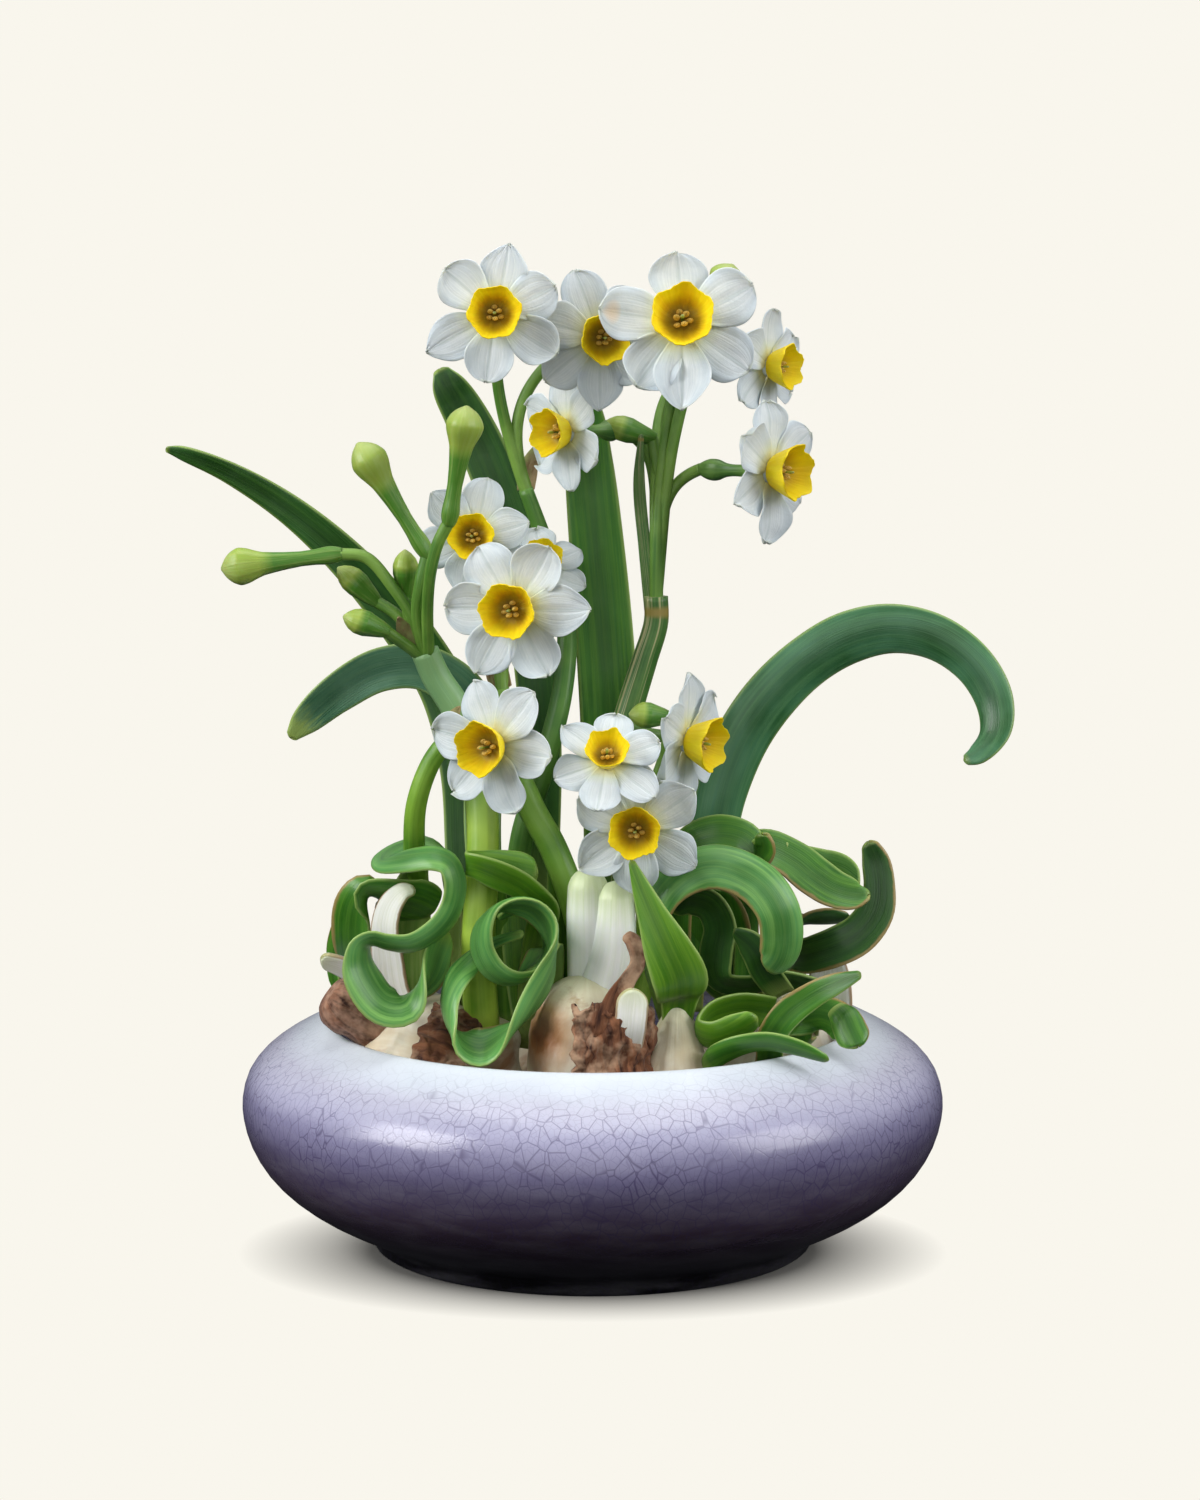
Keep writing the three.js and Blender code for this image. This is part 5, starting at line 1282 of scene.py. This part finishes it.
def make_leaves():
    made = {
        "leaf_droop": leaf_material("leaf blue tipped", *DROOP_COLOURS, tipped=True),
        "leaf_arch": leaf_material("leaf arch", *ARCH_COLOURS),
    }
    inner = leaf_material("leaf inner", *INNER_COLOURS)
    for seed, (name, row) in enumerate({**LEAVES, **CURLS}.items()):
        side = CUT_SIDES.get(name)
        cut = {None: "", -1: " cut left", 1: " cut right"}[side]
        key = name if name in made else f"leaf {row['colour']}{cut}"
        if key not in made:
            made[key] = leaf_material(key, *LEAF_COLOURS[row["colour"]], cut=side)
        own_inner = name == "curl_ring"
        form = Form()
        for k, part in enumerate([row, *row.get("also", [])]):
            leaf(form, **part, wave=0.35 if name in CURLS else 0.2, seed=seed + 50 * k)
        for k, route in enumerate(INNER_LEAVES.get(name, [])):
            leaf(form, route, across=[[1, 0.2, 0]], material=int(own_inner), wave=0.4, seed=200 + k)
        form.finish(name + "_blade", name, [made[key]] + ([inner] if own_inner else []))


def make_shoots():
    form = Form()
    share = np.linspace(0, 1, 61)
    for shoot in SHOOTS:
        route, top = shoot["route"], shoot["radius"][-2]
        radius = shoot["radius"][:-1] + [0.92 * top]
        dome = 1.05 * top / (route[-1][2] - route[0][2])
        end = np.clip((share - 1 + dome) / dome, 0, 0.998)
        radii = np.interp(share, np.linspace(0, 1, len(radius)), radius) * np.sqrt(1 - end ** 2)
        tube(form, route, radii.tolist(), 44, 90, (7, 0.016))
    form.finish("shoots_fleshy", "shoots", [shoot_material()])


# Flowers

# Petal outline, as shares of the radius: distance from the middle, widths of a round and a pointed petal.
PETAL_REACH = [0.1, 0.25, 0.4, 0.55, 0.7, 0.82, 0.9, 0.96, 1.0]
PETAL_ROUND = [0.16, 0.36, 0.56, 0.7, 0.75, 0.69, 0.57, 0.38, 0.05]
PETAL_POINTED = [0.16, 0.38, 0.58, 0.7, 0.68, 0.51, 0.32, 0.15, 0.02]
PETAL_COLUMNS = 19
PETAL_ROWS = 24
PETAL_LIFT = 0.35  # how far in front of the flower's middle the inner petals start

# How the petals of a flower differ: turn in degrees, length, and from 0, round, to 1, pointed.
LOOKS = {
    1: ((8, 2, 1, 11, 5, 10), (0.98, 1.07, 1, 1.15, 1, 1.08), (0.2, 0.9, 0.1, 0.9, 0.2, 0.4)),
    2: ((18, 18, 12, 5, -2, -10), (0.9, 1.06, 1, 1.05, 1.08, 0.9), (0.3, 0.4, 0.3, 0.3, 0.8, 0.2)),
    3: ((-5, 1, 19, 22, -3, -8), (1, 0.9, 1.04, 1, 1.12, 1.02), (0.1, 0.2, 0.3, 0.2, 0.7, 0.2)),
    8: ((0, 0, 2, 0, 0, -3), (1.08, 1, 1, 1, 1.04, 1.04), (0.7, 0.1, 0.1, 0.2, 0.6, 0.3)),
    9: ((0, 4, 0, -4, 0, 4), (1.05, 1, 1.04, 1, 1.02, 1), (0.3, 0.3, 0.4, 0.3, 0.2, 0.2)),
    10: ((0, 0, 0, 0, 0, 0), (1, 1, 1.05, 1, 1.08, 1.1), (0.2, 0.1, 0.8, 0.3, 0.1, 0.1)),
}
LOOK_RANGES = ((-5, 5), (0.96, 1.06), (0.1, 0.8))  # for a flower that has no row above
WARM_PETAL = (3, 2)  # flower and petal with a peach spot at the tip


def flower_frame(flower):
    """Turns points from the flower's own frame: z is where it looks, x the direction of its first petal."""
    out = Vector(flower["facing"]).normalized()
    level = Vector((0, 0, 1)).cross(out).normalized()
    basis = Matrix((level, out.cross(level), out)).transposed()
    turn = np.array(basis @ Matrix.Rotation(math.radians(flower["roll"]), 3, "Z"))
    return lambda points: points @ turn.T + np.array(flower["at"], float)


def petal(form, flower, number, k):
    """One tepal: cupped, with a groove along its midrib, faint ribs, and edges that wave."""
    chance = random.Random(100 * number + k)
    drawn = [[chance.uniform(*limits) for _ in range(6)] for limits in LOOK_RANGES]
    turn, length, pointed = [values[k] for values in LOOKS.get(number, drawn)]
    radius, angle = flower["radius"], math.radians(60 * k + turn)
    v = 1 - (1 - np.linspace(0, 1, PETAL_ROWS)) ** 1.4
    r = (PETAL_REACH[0] + (1 - PETAL_REACH[0]) * v)[:, None]
    shape = [(1 - pointed) * a + pointed * b for a, b in zip(PETAL_ROUND, PETAL_POINTED)]
    rows = [[reach * 10, width * 10, 0] for reach, width in zip(PETAL_REACH, shape)]
    fine = np.array([spline(rows, u) for u in np.linspace(0, 1, 120)])
    half = np.interp(r, fine[:, 0] / 10, fine[:, 1] / 10) * radius / 2
    s = spread(PETAL_COLUMNS)[None, :]
    lift = 0 if k % 2 == 0 else -WHORL_STEP
    cup, tilt, bend = chance.uniform(-0.02, 0.12), chance.uniform(-0.04, 0.05), chance.uniform(-0.1, 0.08)
    twist, phase = chance.uniform(-0.07, 0.07), chance.uniform(0, 6.28)
    forward = (
        cup * s ** 2 * smoothstep(0.15, 0.6, r)
        + tilt * (r - 0.2)
        + bend * smoothstep(0.65, 1.05, r) ** 1.5
        + twist * s * (r - 0.15)
        + 0.03 * np.sin(r * 11 + phase + 2.5 * s) * np.abs(s) ** 2.5
        - 0.022 * np.exp(-(s / 0.1) ** 2) * np.sin(math.pi * np.clip(r * 0.95, 0, 1))
        + 0.006 * np.cos(s * 15 + phase) * smoothstep(0.2, 0.5, r)
    )
    x = (r * length + 0.012 * np.cos(s * 9 + phase) * smoothstep(0.8, 1, r)) * radius
    y = half * s * (1 + 0.03 * np.sin(r * 9 + phase))
    z = forward * radius + lift + PETAL_LIFT
    along_x, along_y = math.cos(angle), math.sin(angle)
    points = flower_frame(flower)(grid(x * along_x - y * along_y, x * along_y + y * along_x, z))
    thickness = PETAL_THICKNESS * rounded(s) * (1.3 - 0.5 * r)
    material = 1 if (number, k) == WARM_PETAL else 0
    size = grid(half * s / 10, r * radius / 10)
    thin_solid(form, points, thickness, size, grid((s + 1) / 2, r), material)


# The short joint where the six tepals meet the tube: radius as a share of the flower's, and height.
HUB_SECTION = [[0, -1.9], [0.1, -1.8], [0.17, -1.2], [0.19, -0.2], [0.2, 0.9], [0.05, 1.1], [0, 1.1]]


def hub(form, flower):
    scaled = [[share * flower["radius"], height] for share, height in HUB_SECTION]
    turned(form, scaled, 24, flower["at"], flower["facing"], fine=2, smooth=False)


# Corona section from its foot outside, over the rim, to its floor inside: shares of its radius and height.
CORONA_SECTION = [
    [0.02, -0.1], [0.5, -0.1], [0.6, 0.0], [0.7, 0.2], [0.8, 0.45], [0.9, 0.72], [0.985, 0.95], [1.0, 1.02],
    [0.975, 1.06], [0.94, 1.0], [0.86, 0.8], [0.76, 0.55], [0.64, 0.35], [0.5, 0.2], [0.3, 0.13],
    [0.02, 0.12],
]
CORONA_RIM = 7  # the section's row at its rim
CORONA_FOOT = 1.3  # how far in front of the flower's middle the cup starts
CORONA_SIDES = 84

# Three long and three short stamens and the stigma: how far out and how high the tip is, as shares of the
# cup's radius and height, the thickness as a share of its radius, the radii along it, and the material.
STAMEN_RADII = (0.35, 0.5, 1.15, 1.3, 1.1, 0.3)
STIGMA_RADII = (0.4, 0.7, 0.7, 1.4, 0.9)
STAMENS = [(0.22, 0.66, 0.075, STAMEN_RADII, 1)] * 3 + [(0.3, 0.46, 0.075, STAMEN_RADII, 1)] * 3
STAMENS += [(0.0, 0.86, 0.045, STIGMA_RADII, 2)]


def stamens(form, wide, tall, turn):
    for k, (ring, top, thick, radii, material) in enumerate(STAMENS):
        way = 2 * math.pi * k / 3 + (math.pi / 3 if k >= 3 else 0) + 0.3
        out = np.array([ring * wide * math.cos(way), ring * wide * math.sin(way), 0])
        start = turn(out * 0.6 + np.array([0, 0, CORONA_FOOT + 0.1 * tall]))
        end = turn(out + np.array([0, 0, CORONA_FOOT + top * tall]))
        radii = [r * thick * wide for r in radii]
        tube(form, [start, (start + end) / 2, end], radii, 12, 14, (2, 0.16), material)


def corona(form, flower, number):
    """The cup: pleated, flared, with a waved and nicked rim."""
    wide, tall = CORONA_RADIUS * flower["radius"], CORONA_HEIGHT * flower["radius"]
    chance = random.Random(number)
    last = len(CORONA_SECTION) - 1
    places = np.array([k + step / 3 for k in range(last) for step in range(3)])
    section = [[10 * r, 10 * h, 0] for r, h in CORONA_SECTION]
    rows = np.array([spline(section, place / last)[:2] / 10 for place in places])
    angle = np.linspace(0, 2 * math.pi, CORONA_SIDES + 1)
    circle = round_about(1, angle, 0) * 10
    frill = 0.6 * ripple(circle, 11, 7 * number) + 0.4 * ripple(circle, 5, 7 * number + 1)
    lobes = np.cos(6 * angle + 1 + chance.uniform(-0.3, 0.3))
    high = np.clip(rows[:, 1:], 0, 1.1)
    grow = 1 + (0.05 * lobes + 0.05 * frill) * high ** 1.5 + 0.012 * np.cos(24 * angle) * high
    rise = 1 + (0.06 * lobes + 0.09 * frill) * high
    r, h = np.maximum(rows[:, :1], 0.004) * wide * grow, rows[:, 1:] * tall * rise + CORONA_FOOT
    points = round_about(r, angle, h)
    turn = flower_frame(flower)
    v = np.interp(places, [0, CORONA_RIM, last], [0, 0.5, 1])[:, None]
    size = grid(angle * wide / 10, v * 1.6 * tall / 10)
    form.add(turn(points[:, :-1]), size, grid(angle / (2 * math.pi), v))
    stamens(form, wide, tall, turn)


def make_flowers():
    petals = [petal_material(), petal_material(warm=True)]
    cups = [corona_material(), anther_material(), bud_material()]
    for number, flower in enumerate(FLOWERS, 1):
        form = Form()
        for k in range(6):
            petal(form, flower, number, k)
        hub(form, flower)
        form.finish(f"tepals_{number:02d}", f"petals_{number:02d}", petals)
        form = Form()
        corona(form, flower, number)
        form.finish(f"cup_{number:02d}", f"corona_{number:02d}", cups)


# Stems

SCAPE, PEDICEL, OVARY, BUD, PAPER = range(5)

OVARY_RADII = [1.3, 2.3, 2.9, 2.7, 1.9, 1.6, 1.6, 1.7, 1.9, 2.3, 2.9]
# Shares of a bud's length, from its stalk, and its radius there: ovary, tube and closed petals.
BUD_SHAPE = [
    (0, 1.5), (0.06, 2.2), (0.13, 2.4), (0.22, 2.05), (0.34, 1.95), (0.48, 2.3), (0.58, 2.7), (0.66, 3.1),
    (0.72, 3.8), (0.79, 4.7), (0.85, 4.9), (0.91, 4.1), (0.96, 2.5), (1, 0.4),
]
SMALL_BUD_SHAPE = [
    (0, 1.5), (0.15, 2.2), (0.3, 2.7), (0.5, 3.4), (0.68, 3.4), (0.82, 2.7), (0.93, 1.5), (1, 0.3),
]


def bezier(a, b, c, d, count=14):
    t = np.linspace(0, 1, count)[:, None]
    return a * (1 - t) ** 3 + 3 * b * t * (1 - t) ** 2 + 3 * c * t ** 2 * (1 - t) + d * t ** 3


def stalk(form, route, shares, steps):
    tube(form, route, [STALK_RADIUS * share for share in shares], 14, steps, (5, 0.05), PEDICEL)


def flower_stalk(form, flower, scape, tube_share):
    out = np.array(flower["facing"], float)
    out /= np.linalg.norm(out)
    middle, radius = np.array(flower["at"], float), flower["radius"]
    below, node = np.array(scape[-2], float), np.array(scape[-1], float)
    rise = (node - below) / np.linalg.norm(node - below)
    start = node - 1.5 * rise
    ovary = middle - out * (tube_share + 0.42) * radius
    reach = np.linalg.norm(ovary - start)
    sag = np.array([0, 0, STALK_SAG * reach])
    bend = bezier(start, start + STALK_RISE * reach * rise, ovary - STALK_BEND * reach * out - sag, ovary)
    stalk(form, bend, (1.15, 1, 0.95, 1), 60)
    stops = [middle - out * radius * share for share in (tube_share + 0.2, tube_share, tube_share * 0.5)]
    tube(form, [ovary - 0.6 * out, *stops, middle - out * 1.2], OVARY_RADII, 18, 44, (3, 0.06), OVARY)


def bud_stalk(form, route, tip, small=False):
    stalk(form, route, (1, 0.95, 1), 50)
    end, tip = np.array(route[-1], float), np.array(tip, float)
    axis = tip - end
    start = end - axis / np.linalg.norm(axis)
    shape = np.array(SMALL_BUD_SHAPE if small else BUD_SHAPE)
    radii = np.interp(np.linspace(0, 1, 27), shape[:, 0], shape[:, 1]).tolist()
    tube(form, [start, (start + tip) / 2, tip], radii, 30, 54, (3, 0.05), BUD)


# A bract from its foot to its tip: the shares of its length, and of its width there.
BRACT_OUTLINE = ((0, 1), (0.3, 1.05), (0.6, 0.8), (0.85, 0.45), (1.0, 0.15))


def papery_bract(form, at, way, length, width, seed):
    """A dry spathe, withered and folded, at the foot of an umbel."""
    at, way = np.array(at, float), np.array(way, float)
    sideways = unit(np.cross(way, [0.3, 1, 0.1]))
    route = [
        [*(at + way * length * share + sideways * 1.2 * math.sin(3 * share + seed)), width * wide]
        for share, wide in BRACT_OUTLINE
    ]
    across = [sideways] + [unit(sideways + np.array(turn)) for turn in ([0.2, -0.5, 0.1], [-0.3, -0.4, 0])]
    leaf(form, route, across=across, thick=0.35, material=PAPER, wave=0.8, seed=seed)


# Umbels: the bracts at the top of each scape, by their direction, length and width.
BRACTS = {
    "left": [((-0.5, -0.4, 0.75), 13, 6), ((0.2, -0.6, 0.5), 6, 5), ((-0.7, 0.2, 0.3), 8, 5)],
    "centre": [((-0.1, 0.4, 0.9), 16, 6)],
    "back": [((0.3, 0.4, 0.85), 15, 5)],
    "low": [((0.2, 0.3, 0.9), 12, 5)],
    "thin": [((0.2, 0.3, 0.8), 8, 4)],
}
STEM_LOOKS = {
    "left": {"dark": (0.16, 0.33, 0.02), "light": (0.38, 0.56, 0.06), "head": (0.2, 0.38, 0.19)},
    "thin": {"dark": (0.07, 0.21, 0.015), "light": (0.22, 0.42, 0.04)},
    "centre": {"dark": (0.08, 0.22, 0.02), "light": (0.2, 0.38, 0.05)},
    "back": {"dark": (0.04, 0.14, 0.02), "light": (0.12, 0.27, 0.04)},
    "tall": {"dark": (0.035, 0.12, 0.02), "light": (0.12, 0.24, 0.05), "cream": 0.9, "ring": 0.965},
    "low": {"dark": (0.1, 0.25, 0.02), "light": (0.26, 0.44, 0.05)},
}


def make_stems():
    shared = [
        stem_material("pedicel", (0.06, 0.18, 0.02), (0.2, 0.36, 0.06)),
        stem_material("ovary", (0.03, 0.12, 0.02), (0.16, 0.3, 0.06)),
        bud_material(),
        paper_material("spathe", (0.16, 0.09, 0.04), (0.42, 0.3, 0.16), (0.3, 0.34, 0.12)),
    ]
    for name, stem in STEMS.items():
        form = Form()
        scape = stem["scape"]
        tube(form, scape, stem["thickness"], 28, 90, (9, 0.025), SCAPE)
        for flower in FLOWERS:
            if flower["stem"] == name:
                flower_stalk(form, flower, scape, stem.get("tube", 0.8))
        for row in stem.get("buds", []):
            bud_stalk(form, **row)
        if "spathe" in stem:
            leaf(form, **stem["spathe"], thick=0.7, material=SCAPE, seed=4)
        for seed, bract in enumerate(BRACTS.get(name, [])):
            papery_bract(form, scape[-1], *bract, seed)
        own = stem_material("stem " + name, **STEM_LOOKS[name])
        form.finish("stem_" + name + "_fleshy", "stem_" + name, [own, *shared])


make_bowl()
make_water()
make_bulbs()
make_skins()
make_leaves()
make_shoots()
make_flowers()
make_stems()

# Stage, camera and lights

CAMERA_PLACE = (0.002, -0.99189, 0.26206)
CAMERA_TILT = 82.7  # degrees up from straight down
CAMERA_LENS = 88.89
FLOOR_REACH = 1.25  # the floor is flat to this distance, and rises in a smooth cove beyond it
COVE_REACH = 4.0
COVE_RISE = 2.2
FLOOR_SIDES = 96

# Each light: where it is, the side of its square, its power and where it points.
LIGHTS = {
    "key": ((-1.05, -0.5, 0.75), 0.7, 15, (0, 0, 0.13)),
    "top": ((0.1, 0.05, 1.45), 1.2, 10.5, (0, 0, 0.13)),
    "fill": ((1.05, -0.45, 0.65), 0.7, 9, (0, 0, 0.13)),
    "front": ((-0.1, -1.3, 0.45), 0.9, 3.5, (0, 0, 0.17)),
}
SKY_LOW = (0.05, 0.05, 0.06, 1)
SKY_HIGH = (0.96, 0.98, 1.0, 1)
SKY_TOP = 0.3  # how high the sky has its full colour
SKY_STRENGTH = 0.3


def ring_mesh(name, reaches):
    shape = bmesh.new()
    rings = []
    for reach in reaches:
        beyond = max(0.0, (reach - FLOOR_REACH) / (COVE_REACH - FLOOR_REACH))
        turns = [2 * math.pi * k / FLOOR_SIDES for k in range(FLOOR_SIDES)]
        rise = COVE_RISE * beyond ** 2.2
        corners = [(reach * math.cos(turn), reach * math.sin(turn), rise) for turn in turns]
        rings.append([shape.verts.new(corner) for corner in corners])
    for low, high in zip(rings, rings[1:]):
        for k in range(FLOOR_SIDES):
            following = (k + 1) % FLOOR_SIDES
            shape.faces.new((low[k], high[k], high[following], low[following]))
    if reaches[0] < FLOOR_REACH:
        shape.faces.new(rings[0])
    mesh = bpy.data.meshes.new(name)
    shape.to_mesh(mesh)
    shape.free()
    mesh.shade_smooth()
    thing = placed(name, mesh)
    return thing


def make_stage():
    material = floor_material()
    floor = ring_mesh("floor", [0.05, 0.2, 0.5, FLOOR_REACH])
    cove = ring_mesh("cove", [FLOOR_REACH + (COVE_REACH - FLOOR_REACH) * k / 24 for k in range(25)])
    for thing in (floor, cove):
        thing.data.materials.append(material)
        thing.visible_diffuse = False
        thing.visible_glossy = False
    cove.visible_shadow = False


def make_lights():
    world = bpy.data.worlds.new("studio")
    world.use_nodes = True
    nodes, links = world.node_tree.nodes, world.node_tree.links
    rise = nodes.new("ShaderNodeSeparateXYZ")
    links.new(nodes.new("ShaderNodeTexCoord").outputs["Generated"], rise.inputs[0])
    sky = nodes.new("ShaderNodeValToRGB")
    low, high = sky.color_ramp.elements
    low.color, high.color, high.position = SKY_LOW, SKY_HIGH, SKY_TOP
    links.new(rise.outputs[2], sky.inputs[0])
    background = nodes["Background"]
    links.new(sky.outputs[0], background.inputs["Color"])
    background.inputs["Strength"].default_value = SKY_STRENGTH
    bpy.context.scene.world = world
    for name, (place, side, power, aim) in LIGHTS.items():
        data = bpy.data.lights.new(name, "AREA")
        data.size, data.energy = side, power
        lamp = placed(name, data)
        lamp.location = place
        lamp.rotation_euler = (Vector(aim) - Vector(place)).to_track_quat("-Z", "Y").to_euler()


def make_camera():
    data = bpy.data.cameras.new("camera")
    data.lens, data.sensor_width, data.clip_end = CAMERA_LENS, 36, 50
    camera = placed("camera", data)
    camera.location = CAMERA_PLACE
    camera.rotation_euler = (math.radians(CAMERA_TILT), 0, 0)
    bpy.context.scene.camera = camera


make_stage()
make_lights()
make_camera()
bpy.context.scene.view_settings.view_transform = "Standard"
